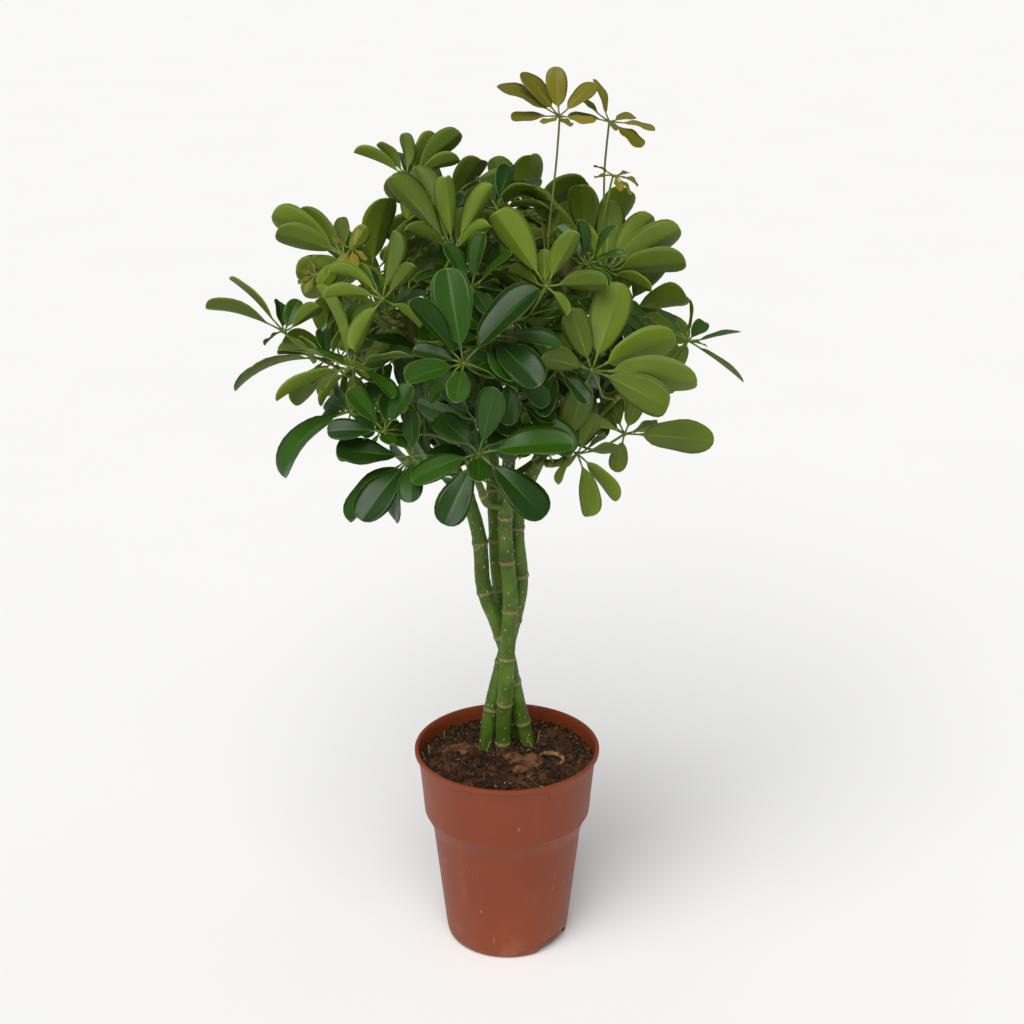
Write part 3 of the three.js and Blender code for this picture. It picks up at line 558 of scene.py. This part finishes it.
bark_points = 14
bark_line = [((41 + 11 * math.cos(t)) * MM, (-8 + 9 * math.sin(t)) * MM,
              (soil_level(41, -8) + 2.5 + 1.1 * t) * MM) for t in np.linspace(-0.9, 2.9, bark_points)]
bark_radii = [1.7 * MM * (0.4 + math.sin(0.25 + 2.6 * t)) for t in np.linspace(0, 1, bark_points)]
bark_rings = tube_rings(bark_line, bark_radii, 8)
bark = new_object("bark_curl", mesh_of("bark_curl", *skin(bark_rings)), coir_skin)
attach(bark, "root")

# each straw: where it stands, how high it rises and how far it tilts for each unit of height
straw_radius = 0.55
straw_places = np.linspace(0, 1, 9)
straws = [(-73, 6, 11, 0.10), (-76, -6, 9, -0.14), (-60, 36, 8, 0.2), (-20, 8, 9, 0.5), (24, 14, 12, -0.4),
          (27, 22, 13, 0.3), (-24, 12, 8, -0.6)]
for number, (x, y, rise, tilt) in enumerate(straws):
    line = [((x + tilt * rise * t + 0.6 * math.sin(5 * t)) * MM, (y + 0.5 * math.cos(4 * t)) * MM,
             (soil_level(x, y) - 2 + (rise + 2) * t) * MM) for t in straw_places]
    radii = [straw_radius * MM * (1.1 - 0.5 * t) for t in straw_places]
    straw = mesh_of("straw", *skin(tube_rings(line, radii, 5)))
    straw = new_object("straw_" + str(number + 1), straw, rootlet_skin)
    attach(straw, "root")

# ---------------------------------------------------------------------------------------------
# Stems. Four rooted stems about a finger thick, braided while they were soft. The bark is green and
# thin, with a corky tan scar where each leaf once stood and pale lenticels between.

scar_spacing = 0.0465
scar_rise = 0.12
scar_width = 0.0019
stem_step = 0.0012
cad_stem_sides = 8


def merged(name):
    """A CAD node's corners, and for each the set of corners that it shares an edge with."""
    body = bmesh.new()
    body.from_mesh(nodes[name].data)
    bmesh.ops.remove_doubles(body, verts=body.verts, dist=2e-6)
    body.verts.ensure_lookup_table()
    points = np.array([v.co for v in body.verts], float)
    beside = [{e.other_vert(v).index for e in v.link_edges} for v in body.verts]
    body.free()
    return points, beside


def layers_from(first, beside, count):
    """The corners one edge away from the first corner, then two, and so on."""
    seen = {first}
    front = {first}
    layers = []
    while len(layers) < count:
        front = {other for corner in front for other in beside[corner]} - seen
        if not front:
            break
        seen |= front
        layers.append(sorted(front))
    return layers


def stem_line(name):
    """A stem's centre line and its radius along it, from the rings of its CAD node."""
    points, beside = merged(name)
    caps = [k for k, others in enumerate(beside) if len(others) == cad_stem_sides]
    foot = min(caps, key=lambda k: points[k][2])
    layers = layers_from(foot, beside, len(points))
    rings = [points[layer] for layer in layers if len(layer) == cad_stem_sides]
    line = [ring.mean(axis=0) for ring in rings]
    radii = [np.linalg.norm(ring - centre, axis=1).mean() for ring, centre in zip(rings, line)]
    return np.array(line), np.array(radii)


def stem_tree():
    """A stem round a line of points: a smooth tube that swells at each leaf scar, with a lumpy skin."""
    growth = Growth("stem", {
        "Line": "Geometry", "Scar spacing": "Float", "Scar rise": "Float", "Scar width": "Float",
        "First scar": "Float", "Step": "Float", "Sides": "Int", "Finish": "Material"})
    given = growth.given
    line = growth.node("GeometryNodeMeshToCurve", {}, {0: given["Line"]})
    smooth = growth.node("GeometryNodeCurveSplineType", {"spline_type": "CATMULL_ROM"}, {0: line})
    fine = growth.node("GeometryNodeResampleCurve", {"mode": "LENGTH"}, {0: smooth, "Length": given["Step"]})
    run = growth.node("GeometryNodeSplineParameter", {}, {}, "Length")
    girth = growth.node("GeometryNodeInputNamedAttribute", {"data_type": "FLOAT"}, {"Name": "girth"})
    wobble = growth.node("ShaderNodeTexNoise", {"noise_dimensions": "1D"}, {"W": run, "Scale": 13.0})
    from_first = growth.maths("SUBTRACT", run, given["First scar"])
    shifted = growth.maths("ADD", from_first, growth.maths("MULTIPLY", wobble, 0.012))
    place = growth.maths("FLOORED_MODULO", shifted, given["Scar spacing"])
    half = growth.maths("MULTIPLY", given["Scar spacing"], 0.5)
    distance = growth.maths("ABSOLUTE", growth.maths("SUBTRACT", place, half), 0.0)
    ratio = growth.maths("DIVIDE", distance, given["Scar width"])
    peak = growth.maths("POWER", 0.5, growth.maths("MULTIPLY", ratio, ratio))
    swelling = growth.maths("ADD", growth.maths("MULTIPLY", peak, given["Scar rise"]), 1.0)
    marked = growth.node("GeometryNodeStoreNamedAttribute", {"data_type": "FLOAT", "domain": "POINT"},
                         {"Geometry": fine, "Name": "scar", "Value": peak})
    round_section = {"Resolution": given["Sides"], "Radius": 1.0}
    circle = growth.node("GeometryNodeCurvePrimitiveCircle", {}, round_section)
    tube = growth.node("GeometryNodeCurveToMesh", {}, {
        "Curve": marked, "Profile Curve": circle, "Scale": growth.maths("MULTIPLY", girth, swelling),
        "Fill Caps": True})
    normal = growth.node("GeometryNodeInputNormal", {}, {})
    lumps = growth.node("ShaderNodeTexNoise", {}, {"Scale": 190.0, "Detail": 2.0})
    swell = growth.maths("MULTIPLY", growth.maths("SUBTRACT", lumps, 0.5), 0.0009)
    push = growth.node("ShaderNodeVectorMath", {"operation": "SCALE"}, {0: normal, "Scale": swell})
    return growth.finish(growth.node("GeometryNodeSetPosition", {}, {"Geometry": tube, "Offset": push}))


def stem_finish(name, green, pale, age):
    """Green bark with tan scars and pale lenticels, that turns brown and corky above a height."""
    bark = Finish(name)
    scar = bark.attribute("scar")
    blotch = bark.speckle(45.0, 5.0)
    streak = bark.speckle(300.0, 3.0, bark.stretched((1, 1, 0.16)))
    drawn_out = bark.stretched((1, 1, 0.5))
    spots = bark.node("ShaderNodeTexVoronoi", {}, {"Vector": drawn_out, "Scale": 260.0}, "Distance")
    lenticel = bark.step(spots, 0.24, 0.12) * bark.step(bark.speckle(150.0, 2.0), 0.38, 0.5)
    patches = bark.step(bark.speckle(95.0, 6.0), 0.54, 0.66)
    height = bark.node("ShaderNodeSeparateXYZ", {}, {0: bark.place()}, "Z")
    woody = bark.step(height + 0.05 * blotch, age[0], age[1])
    ring = bark.step(scar * (0.3 + 1.2 * bark.speckle(120.0, 4.0)), 0.42, 0.66)
    young = bark.blend(bark.step(blotch, 0.3, 0.7), colour(green), colour(pale))
    lined = bark.blend(bark.step(streak, 0.52, 0.7) * 0.35, young, colour("6f7526"))
    corky = bark.blend(woody * 0.75 + patches * 0.35, lined, colour("54401f"))
    ringed = bark.blend(ring * 0.7, corky, colour("948458"))
    dotted = bark.blend(lenticel * 0.9, ringed, colour("c9c38c"))
    return bark.surface({
        "Base Color": dotted,
        "Roughness": 0.5 + 0.2 * streak + 0.2 * ring,
        "Normal": bark.bump(streak + 1.4 * lenticel + 1.5 * ring * streak, 0.0005),
        "Specular IOR Level": 0.4,
    })


stem_body = stem_tree()
stem_skin = stem_finish("stem_bark", "3d5c0a", "587a14", (0.44, 0.56))
twig_skin = stem_finish("branch_bark", "445c10", "586a18", (0.60, 0.80))


def line_mesh(name, line, radii):
    """A bare line of edges that carries its radius, for the stem tree."""
    mesh = bpy.data.meshes.new(name)
    mesh.from_pydata([tuple(p) for p in line], [(k, k + 1) for k in range(len(line) - 1)], [])
    girth = mesh.attributes.new("girth", "FLOAT", "POINT")
    girth.data.foreach_set("value", [float(r) for r in radii])
    return mesh


def add_stem(name, label, finish, first_scar, tip_taper, sides):
    """The stem or branch that a CAD node stands for, run on a little past its end to a blunt tip."""
    line, radii = stem_line(name)
    beyond = line[-1] + 0.8 * (line[-1] - line[-2])
    line = np.vstack([line, beyond])
    radii = np.append(radii, radii[-1] * tip_taper)
    scars = {"Scar spacing": scar_spacing, "Scar rise": scar_rise, "Scar width": scar_width,
             "First scar": first_scar}
    wire = line_mesh(label + "_line", line, radii)
    piece = grow(label, wire, stem_body, finish, Sides=sides, Step=stem_step, **scars)
    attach(piece, "root")
    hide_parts(name)


stems = {"stem_front": 0.000, "stem_right": 0.017, "stem_left": 0.031, "stem_back": 0.009}
for name, first_scar in stems.items():
    add_stem(name, name.replace("stem", "braided_stem"), stem_skin, first_scar, 0.3, 20)

# ---------------------------------------------------------------------------------------------
# Side branches. Seven younger shoots that leave the stems inside the crown and carry leaves. Each
# grows out of its stem, so it starts a little inside the bark.

branches = sorted(name for name in nodes if name.startswith("branch_"))
for number, name in enumerate(branches):
    add_stem(name, name.replace("branch", "side_branch"), twig_skin, 0.006 * number, 0.35, 14)

# ---------------------------------------------------------------------------------------------
# Leaves. Forty-one grown leaves, each a long stalk that ends in a small boss, from which four to
# eight leaflets spread like a hand. A leaflet is leathery and glossy above, matt and yellower below,
# with a pale midrib, a thin pale margin and a short stalk of its own.

stalk_radius = 0.0011
blade_thickness = 0.00055
usual_roll = 0.6
tones = 8
upper_slot, lower_slot, stalk_slot = 0, 1, 2
blade_start = 0.16
station_shares = {3: [0.16, 0.48, 0.8], 5: [0.16, 0.34, 0.52, 0.7, 0.86]}
across_steps = np.array([-1, -0.74, -0.42, -0.13, 0, 0.13, 0.42, 0.74, 1])
eased = 0.5 - 0.5 * np.cos(np.linspace(0.35, 3.0, 12))
blade_rows = np.concatenate([[0.0, 0.06, 0.13], blade_start + (1 - blade_start) * eased])


class Leaf:
    """A leaf as its CAD node has it: the stalk's line, the boss, and each leaflet's rings and tip."""

    def __init__(self, name):
        self.points, self.beside = merged(name)
        ends = [k for k, others in enumerate(self.beside) if len(others) == 4]
        foot = min(ends, key=lambda k: np.ptp(self.points[sorted(self.beside[k])], axis=0).max())
        layers = layers_from(foot, self.beside, 6)
        self.stalk = np.array([self.points[layer].mean(axis=0) for layer in layers[:5]])
        stalk_end = set(layers[4])
        lower = set(layers[5])
        upper = {k for corner in lower for k in self.beside[corner] if len(self.beside[k]) >= 7}
        upper -= lower | stalk_end
        self.hub = self.points[sorted(lower | upper)].mean(axis=0)
        self.axis = unit(self.points[sorted(upper)].mean(axis=0) - self.points[sorted(lower)].mean(axis=0))
        self.leaflets = []
        for first in sorted(lower):
            for second in sorted(self.beside[first] & lower):
                if second < first:
                    continue
                shared = (self.beside[first] & self.beside[second]) - stalk_end - lower - upper
                for right in shared:
                    self.leaflets.append(self.follow(right, lower, upper))

    def follow(self, right, lower, upper):
        """One leaflet's rings, each as below, right, above, left, and its tip."""
        hub = lower | upper
        sides = [k for k in self.beside[right] - hub if self.beside[k] & hub]
        between = (self.beside[sides[0]] & self.beside[sides[1]]) - hub - {right}
        left = next(k for k in between if self.beside[k] & hub)
        onward = (self.beside[right] | self.beside[left]) - hub - set(sides) - {left, right}
        centre = self.points[[right, left, *sides]].mean(axis=0)
        tangent = self.points[sorted(onward)].mean(axis=0) - centre
        side = self.points[right] - centre
        turning = np.cross(side, self.points[sides[0]] - centre) @ tangent
        above, below = sides if turning > 0 else sides[::-1]
        ring = [below, right, above, left]
        rings = [ring]
        seen = hub | set(ring)
        while True:
            ahead = {k for corner in ring for k in self.beside[corner]} - seen
            if len(ahead) == 1:
                tip = self.points[ahead.pop()]
                return [self.points[r] for r in rings], tip
            ring = [next(k for k in ahead if {ring[j], ring[j - 1]} <= self.beside[k]) for j in range(4)]
            rings.append(ring)
            seen |= set(ring)


def outline(share, widest):
    """The half width of a leaflet, as a share of the widest: wedge-shaped at the foot, blunt at the tip."""
    share = np.clip(share, 0, 1)
    bluntness = 0.42
    rise = bluntness * widest / (1 - widest)
    return (share / widest) ** rise * ((1 - share) / (1 - widest)) ** bluntness


class Foliage:
    """Collects the skins of one leaf into a single mesh, with each corner's place on its blade.

    The place is the step across, the share along with twice the leaflet's tone added, and the distance
    to the margin.
    """

    def __init__(self):
        self.points, self.faces, self.slots, self.blade = [], [], [], []

    def add(self, points, faces, slots, blade):
        base = len(self.points)
        self.points += points
        self.faces += [tuple(base + k for k in face) for face in faces]
        self.slots += slots
        self.blade += blade

    def mesh(self, name):
        mesh = mesh_of(name, self.points, self.faces)
        mesh.polygons.foreach_set("material_index", self.slots)
        place = mesh.attributes.new("blade", "FLOAT_VECTOR", "POINT")
        place.data.foreach_set("vector", [value for triple in self.blade for value in triple])
        return mesh


def midrib_frame(line, shares, ups, share, turn):
    """A place on a leaflet's midrib: its centre, the way across the blade and the way up from it."""
    centre = np.array([np.polyval(line[:, axis], share) for axis in range(3)])
    slope = np.array([np.polyval(np.polyder(line[:, axis]), share) for axis in range(3)])
    tangent = unit(slope)
    up = np.array([np.interp(share, shares, ups[:, axis]) for axis in range(3)])
    up = unit(up - tangent * (up @ tangent))
    side = np.cross(up, tangent)
    return centre, side * math.cos(turn) - up * math.sin(turn), up * math.cos(turn) + side * math.sin(turn)


def blade_section(along, width, fold, roll, thickness, girth, ripple, swings):
    """A cut across a leaflet, as (sideways, upwards) places on its upper and on its lower skin.

    Its stalk is round, and spreads to a folded or rolled sheet over the first tenth of the blade.
    swings is how the left and the right margin ripple here.
    """
    flat = min(1, max(0, along) / 0.10)
    upper, lower = [], []
    for step in across_steps:
        reach = abs(step)
        curl = roll * fold * 2 * reach
        chord = math.sin(curl / 2) / (curl / 2) if abs(curl) > 0.01 else 1
        angle = curl / 2 + (1 - roll) * fold * (1.3 - 0.3 * reach)
        x = width * step * chord * math.cos(angle)
        raised = width * reach * chord * math.sin(angle)
        raised += ripple * reach ** 2 * swings[int(step > 0)] * flat
        edge = math.sqrt(max(0, 1 - reach ** 4))
        midrib = math.exp(-((step / 0.09) ** 2))
        rib = thickness * 1.3 * midrib * (1 - 0.7 * max(along, 0))
        groove = thickness * 0.5 * midrib
        around = math.pi * (1 - (step + 1) / 2)
        round_up = (girth * math.cos(around), girth * math.sin(around))
        round_down = (girth * math.cos(around), -girth * math.sin(around))
        sheet_up = (x, raised + thickness / 2 * edge - groove)
        sheet_down = (x, raised - thickness / 2 * edge - rib)
        upper.append([(1 - flat) * r + flat * s for r, s in zip(round_up, sheet_up)])
        lower.append([(1 - flat) * r + flat * s for r, s in zip(round_down, sheet_down)])
    return upper, lower


def add_leaflet(foliage, leaf, rings, tip, rng, roll, thickness, girth):
    """A fine leaflet through the rings of a coarse one, with small differences drawn from rng."""
    shares = station_shares[len(rings)]
    centres = [(ring[0] + ring[2]) / 2 for ring in rings]
    root = leaf.hub + 0.12 * (centres[0] - leaf.hub)
    line = np.polyfit([0.0, *shares, 1.0], np.array([root, *centres, tip]), 4)
    ups = np.array([unit(ring[2] - ring[0]) for ring in rings])
    length = np.linalg.norm(np.diff([root, *centres, tip], axis=0), axis=1).sum()
    spans = [(ring[1] - centre, ring[3] - centre) for ring, centre in zip(rings, centres)]
    half_width = max(np.linalg.norm(a - b) / 2 for a, b in spans[1:]) / 0.94
    folds = [math.atan2((a + b) @ up / 2, np.linalg.norm(a - b) / 2)
             for (a, b), up in zip(spans[1:], ups[1:])]
    fold = float(np.mean(folds))
    half_width = half_width / max(math.cos(fold), 0.5)
    widest = rng.uniform(0.58, 0.7)
    twist = rng.uniform(-0.22, 0.22)
    ripple = rng.uniform(0.3, 1.0) * 0.0011
    phase = rng.uniform(0, 6.28)
    waves = rng.uniform(9, 15)
    shade = 2 * round(rng.uniform(0, 1) * tones)
    rows, blade = [], []
    for share in blade_rows:
        along = (share - blade_start) / (1 - blade_start)
        centre, side, up = midrib_frame(line, shares, ups, share, twist * max(along, 0))
        width = half_width * float(outline(along, widest)) if along > 0 else 0
        width = max(width, girth * 0.8)
        swings = [math.sin(waves * share + phase + shift) for shift in (0, 1.7)]
        section = blade_section(along, width, fold, roll, thickness, girth, ripple, swings)
        upper, lower = [[centre + side * x + up * z for x, z in half] for half in section]
        places = [(step, share + shade, min(width * (1 - abs(step)), length * (1 - share)))
                  for step in across_steps]
        rows.append([*upper, *lower[-2:0:-1]][::-1])
        blade += [*places, *places[-2:0:-1]][::-1]
    points, faces = skin(rows, end=tip)
    blade += [(0, shade, 0), (0, 1 + shade, 0)]
    count = len(rows[0])
    slots = []
    for face in faces:
        corners = [k for k in face if k < count * len(rows)]
        on_top = all(k % count >= count - len(across_steps) for k in corners)
        on_stalk = min(corners) // count < 2
        slots.append(stalk_slot if on_stalk else upper_slot if on_top else lower_slot)
    foliage.add(points, faces, slots, blade)


def smooth_line(points, count):
    """A Catmull-Rom line through points, resampled to a count of points."""
    points = np.array(points, float)
    padded = np.vstack([2 * points[0] - points[1], points, 2 * points[-1] - points[-2]])
    made = []
    for place in np.linspace(0, len(points) - 1, count):
        k = min(int(place), len(points) - 2)
        t = place - k
        a, b, c, d = padded[k:k + 4]
        made.append(0.5 * (2 * b + (c - a) * t + (2 * a - 5 * b + 4 * c - d) * t ** 2
                           + (3 * b - a - 3 * c + d) * t ** 3))
    return np.array(made)


def add_stalk(foliage, leaf, girth):
    """The leaf's stalk, flared where it clasps the stem, and the boss that its leaflets leave from."""
    start = leaf.stalk[0] - 2.6 * MM * unit(leaf.stalk[1] - leaf.stalk[0])
    line = smooth_line([start, *leaf.stalk[1:], leaf.hub], 15)
    places = np.linspace(0, 1, 15)
    radii = girth * (1 + 0.9 * np.exp(-(places / 0.05) ** 2) + 0.45 * np.exp(-((1 - places) / 0.04) ** 2))
    points, faces = skin(tube_rings(line, radii, 8))
    foliage.add(points, faces, [stalk_slot] * len(faces), [(0, 0, 0)] * len(points))
    boss = [leaf.hub + leaf.axis * z * girth for z in (-1.5, -0.9, 0, 0.8, 1.2)]
    points, faces = skin(tube_rings(boss, [girth * r for r in (0.9, 1.8, 2.3, 1.8, 0.8)], 10))
    foliage.add(points, faces, [stalk_slot] * len(faces), [(0, 0, 0)] * len(points))


def blade_finish(name, deep, light, vein, margin, gloss, midrib, side_veins):
    """A leaflet's skin: two greens that drift, a paler midrib and side veins, and a pale thin margin.

    midrib and side_veins are how strongly those show.
    """
    leaf = Finish(name)
    place = leaf.attribute("blade", "Vector")
    sideways = leaf.node("ShaderNodeSeparateXYZ", {}, {0: place}, "X")
    across = leaf.node("ShaderNodeMath", {"operation": "ABSOLUTE"}, {0: sideways})
    coded = leaf.node("ShaderNodeSeparateXYZ", {}, {0: place}, "Y")
    edge = leaf.node("ShaderNodeSeparateXYZ", {}, {0: place}, "Z")
    along = leaf.node("ShaderNodeMath", {"operation": "MODULO"}, {0: coded, 1: 2.0})
    tone = (coded - along) / (2.0 * tones)
    rib = leaf.step(across, 0.085, 0.02) * leaf.step(along, 1.0, 0.3)
    chevron = along * 17.0 - across * 2.6
    stripe = leaf.node("ShaderNodeMath", {"operation": "PINGPONG"}, {0: chevron, 1: 0.5})
    veins = leaf.step(stripe, 0.09, 0.0) * leaf.step(across, 0.95, 0.5)
    border = leaf.step(edge, 0.0008, 0.0003)
    drift = leaf.speckle(22.0, 3.0)
    fine = leaf.speckle(420.0, 2.0)
    base = leaf.blend(leaf.step(0.6 * tone + 0.5 * drift, 0.25, 0.85), colour(deep), colour(light))
    veined = leaf.blend(veins * side_veins, base, colour(vein))
    ribbed = leaf.blend(rib * midrib, veined, colour(vein))
    edged = leaf.blend(border * 0.75, ribbed, colour(margin))
    return leaf.surface({
        "Base Color": edged,
        "Roughness": gloss + 0.12 * drift,
        "Normal": leaf.bump(fine * 0.25 + veins * 0.25 - 0.6 * rib, 0.0002, 0.6),
        "Specular IOR Level": 0.32,
    })


def stalk_finish(name, deep, light):
    """A leaf stalk's skin: two greens that drift, with fine streaks along it."""
    stalk = Finish(name)
    drift = stalk.speckle(30.0, 4.0)
    streak = stalk.speckle(260.0, 2.0, stalk.stretched((1, 1, 0.2)))
    return stalk.surface({
        "Base Color": stalk.blend(stalk.step(drift, 0.35, 0.65), colour(deep), colour(light)),
        "Roughness": 0.4 + 0.15 * streak,
        "Normal": stalk.bump(streak, 0.0002),
        "Specular IOR Level": 0.45,
    })


leaf_above = blade_finish("leaf_upper_skin", "163603", "2c5207", "52761c", "7c9a40", 0.28, 0.5, 0.04)
leaf_below = blade_finish("leaf_lower_skin", "4b5f0c", "667c18", "84963a", "8ea048", 0.5, 0.5, 0.14)
leaf_stalk = stalk_finish("leaf_stalk_skin", "465c0c", "6c7c24")


def search_tree(points, faces):
    """Faces in a form that is quick to test against others."""
    return BVHTree.FromPolygons([tuple(point) for point in points], faces)


grown = []


def add_leaf(name, label, seed, roll, thickness, girth, materials):
    """The leaf that a CAD node stands for: its stalk, its boss and every leaflet, as one piece."""
    leaf = Leaf(name)
    rng = np.random.default_rng(seed)
    foliage = Foliage()
    add_stalk(foliage, leaf, girth)
    for rings, tip in leaf.leaflets:
        add_leaflet(foliage, leaf, rings, tip, rng, roll, thickness, 0.75 * girth)
    grown.append(search_tree(foliage.points, foliage.faces))
    piece = new_object(label, foliage.mesh(label), *materials)
    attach(piece, "root")
    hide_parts(name)


rolled = {"leaf_07": 1.0, "leaf_08": 0.9, "leaf_16": 0.9}
for number, name in enumerate(sorted(n for n in nodes if n.startswith("leaf_"))):
    add_leaf(name, "grown_" + name, 100 + number, rolled.get(name, usual_roll), blade_thickness, stalk_radius,
             (leaf_above, leaf_below, leaf_stalk))

# ---------------------------------------------------------------------------------------------
# Young leaves. Six shoots that have just opened: thinner, softer and bronze, on slim stalks that
# stand above the crown. Their leaflets are still short and cupped.

young_above = blade_finish("young_upper_skin", "62600a", "7c7410", "8f8c34", "8f8c3c", 0.38, 0.5, 0.08)
young_below = blade_finish("young_lower_skin", "63660c", "7d7a14", "94923a", "979444", 0.5, 0.5, 0.08)
young_stalk = stalk_finish("young_stalk_skin", "56601a", "6f7430")
young_roll = 0.7
young_thickness = 0.0004
young_radius = 0.0009
for number, name in enumerate(sorted(n for n in nodes if n.startswith("young_leaf_"))):
    add_leaf(name, "opening_" + name, 300 + number, young_roll, young_thickness, young_radius,
             (young_above, young_below, young_stalk))

# ---------------------------------------------------------------------------------------------
# Inner leaves. Smaller leaves that fill the inside of the crown, set round the stems and the side
# branches in a spiral. Each grows where there is room: a leaflet that would touch something is left
# out, as it would be in the shade, and a leaf with too few leaflets doesn't grow.

crown_centre = np.array([-0.012, 0.0, 0.600])
crown_reach = np.array([0.165, 0.150, 0.140])
golden_angle = math.radians(137.5)
leaf_spacing = 0.008
lowest_leaf = 0.445
leaf_attempts = 12
fewest_leaflets = 4
turn_per_stem = 1.3
turn_per_attempt = 0.5
inner_stalk_lengths = (0.038, 0.090)
inner_reaches = (0.046, 0.062)
inner_stalk_room = 0.001
inner_stalk_radius = 0.0009
inner_leaflet_radius = 0.0007
inner_sections = ((0.16, 0.06), (0.48, 0.2), (0.8, 0.17))


class InnerLeaf:
    """A leaf of seven leaflets set by rule, in the form that add_leaflet takes."""

    def __init__(self, start, outward, stalk_length, reach, rng):
        heading = unit(outward + np.array([0, 0, rng.uniform(0.0, 0.7)]))
        arch = np.array([0, 0, 0.12 * stalk_length])
        self.stalk = np.array([start + heading * stalk_length * t + arch * math.sin(math.pi * t)
                               for t in (0, 0.25, 0.5, 0.75, 0.95)])
        self.hub = start + heading * stalk_length
        self.axis = unit(unit(self.hub - crown_centre) + np.array([0, 0, 0.7]) + 0.3 * rng.normal(size=3))
        across = unit(np.cross(self.axis, heading))
        ahead = np.cross(across, self.axis)
        self.leaflets = []
        for number in range(7):
            turn = 2 * math.pi * (number + 0.5) / 7
            length = reach * (0.86 + 0.16 * math.cos(turn)) * rng.uniform(0.92, 1.06)
            spoke = unit(math.cos(turn) * ahead + math.sin(turn) * across + rng.uniform(0.0, 0.3) * self.axis)
            side = unit(np.cross(self.axis, spoke))
            up = np.cross(spoke, side)
            droop = rng.uniform(0.08, 0.26) * length
            rings = []
            for share, wide in inner_sections:
                centre = self.hub + spoke * length * share - up * droop * share ** 2
                raised = up * wide * length * 0.25
                rings.append([centre - up * MM, centre + side * wide * length + raised, centre + up * MM,
                              centre - side * wide * length + raised])
            self.leaflets.append((rings, self.hub + spoke * length - up * droop))


def inside_crown(points):
    """True if every point lies in the egg that the outer leaves enclose."""
    return float((((np.array(points) - crown_centre) / crown_reach) ** 2).sum(axis=1).max()) < 1


def sketch(hub, rings, tip):
    """A leaflet as four flat faces, which is quick to test."""
    points = [hub, *[corner for ring in rings for corner in (ring[1], ring[3])], tip]
    return search_tree(points, [(0, 1, 2), (1, 3, 4, 2), (3, 5, 6, 4), (5, 7, 6)])


def clear(tree, others):
    return not any(tree.overlap(other) for other in others)


def leaf_with_room(start, outward, rng, around):
    """The skins of an inner leaf, less the leaflets that would touch what is around, or None."""
    stalk_length = rng.uniform(*inner_stalk_lengths)
    leaf = InnerLeaf(start, outward, stalk_length, rng.uniform(*inner_reaches), rng)
    kept = [(rings, tip) for rings, tip in leaf.leaflets
            if inside_crown([tip]) and clear(sketch(leaf.hub, rings, tip), around)]
    if len(kept) < fewest_leaflets:
        return None
    outer_stalk = smooth_line([*leaf.stalk, leaf.hub], 12)[3:]
    room = tube_rings(outer_stalk, [inner_stalk_room] * len(outer_stalk), 6)
    if not clear(search_tree(*skin(room)), around):
        return None
    foliage = Foliage()
    for rings, tip in kept:
        add_leaflet(foliage, leaf, rings, tip, rng, usual_roll, blade_thickness, inner_leaflet_radius)
    if not clear(search_tree(foliage.points, foliage.faces), around):
        return None
    add_stalk(foliage, leaf, inner_stalk_radius)
    return foliage


bark_trees = [search_tree([v.co for v in o.data.vertices], [tuple(p.vertices) for p in o.data.polygons])
              for o in bpy.data.objects if o.name.startswith(("braided_stem", "side_branch"))]
inner_count = 0
for order, name in enumerate([*stems, *branches]):
    route = smooth_line(stem_line(name)[0], 400)
    for step, height in enumerate(np.arange(lowest_leaf, route[:, 2].max(), leaf_spacing)):
        rng = np.random.default_rng(1000 * order + step)
        start = route[int(np.argmin(np.abs(route[:, 2] - height)))]
        for attempt in range(leaf_attempts):
            turn = golden_angle * step + turn_per_stem * order + turn_per_attempt * attempt
            outward = np.array([math.cos(turn), math.sin(turn), 0.0])
            foliage = leaf_with_room(start, outward, rng, [*grown, *bark_trees])
            if foliage is None:
                continue
            grown.append(search_tree(foliage.points, foliage.faces))
            inner_count += 1
            label = "inner_leaf_" + str(inner_count)
            piece = new_object(label, foliage.mesh(label), leaf_above, leaf_below, leaf_stalk)
            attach(piece, "root")
            break

# ---------------------------------------------------------------------------------------------
# Floor and light. A plain pale floor under a large soft light from above and in front, with even
# light from all round, as on a photographer's table.

paper = Finish("pale_floor")
tooth = paper.speckle(3.0, 2.0)
paper_skin = paper.surface({
    "Base Color": paper.blend(tooth, (0.93, 0.93, 0.93, 1), (0.95, 0.95, 0.95, 1)),
    "Roughness": 0.9,
    "Specular IOR Level": 0.0,
})
extent = 14.0
corners = [(-extent, -extent, 0), (extent, -extent, 0), (extent, extent, 0), (-extent, extent, 0)]
floor = new_object("floor", mesh_of("floor", corners, [(0, 1, 2, 3)]), paper_skin)

world = bpy.data.worlds.new("studio")
world.use_nodes = True
room = world.node_tree
# the plant is lit softly, while the camera sees a white background
seen_from_camera = room.nodes.new("ShaderNodeLightPath").outputs["Is Camera Ray"]
strength = room.nodes.new("ShaderNodeMapRange")
strength.inputs["To Min"].default_value = 0.32
strength.inputs["To Max"].default_value = 1.0
room.links.new(seen_from_camera, strength.inputs["Value"])
room.links.new(strength.outputs[0], room.nodes["Background"].inputs["Strength"])
room.nodes["Background"].inputs["Color"].default_value = (1, 1, 1, 1)
bpy.context.scene.world = world

key = bpy.data.objects.new("key_light", bpy.data.lights.new("key_light", "SUN"))
key.data.energy = 2.7
key.data.angle = math.radians(50)
key.data.color = (1.0, 0.99, 0.97)
key.rotation_euler = (math.radians(34), math.radians(-14), 0)
bpy.context.scene.collection.objects.link(key)
bpy.context.scene.view_settings.view_transform = "Standard"
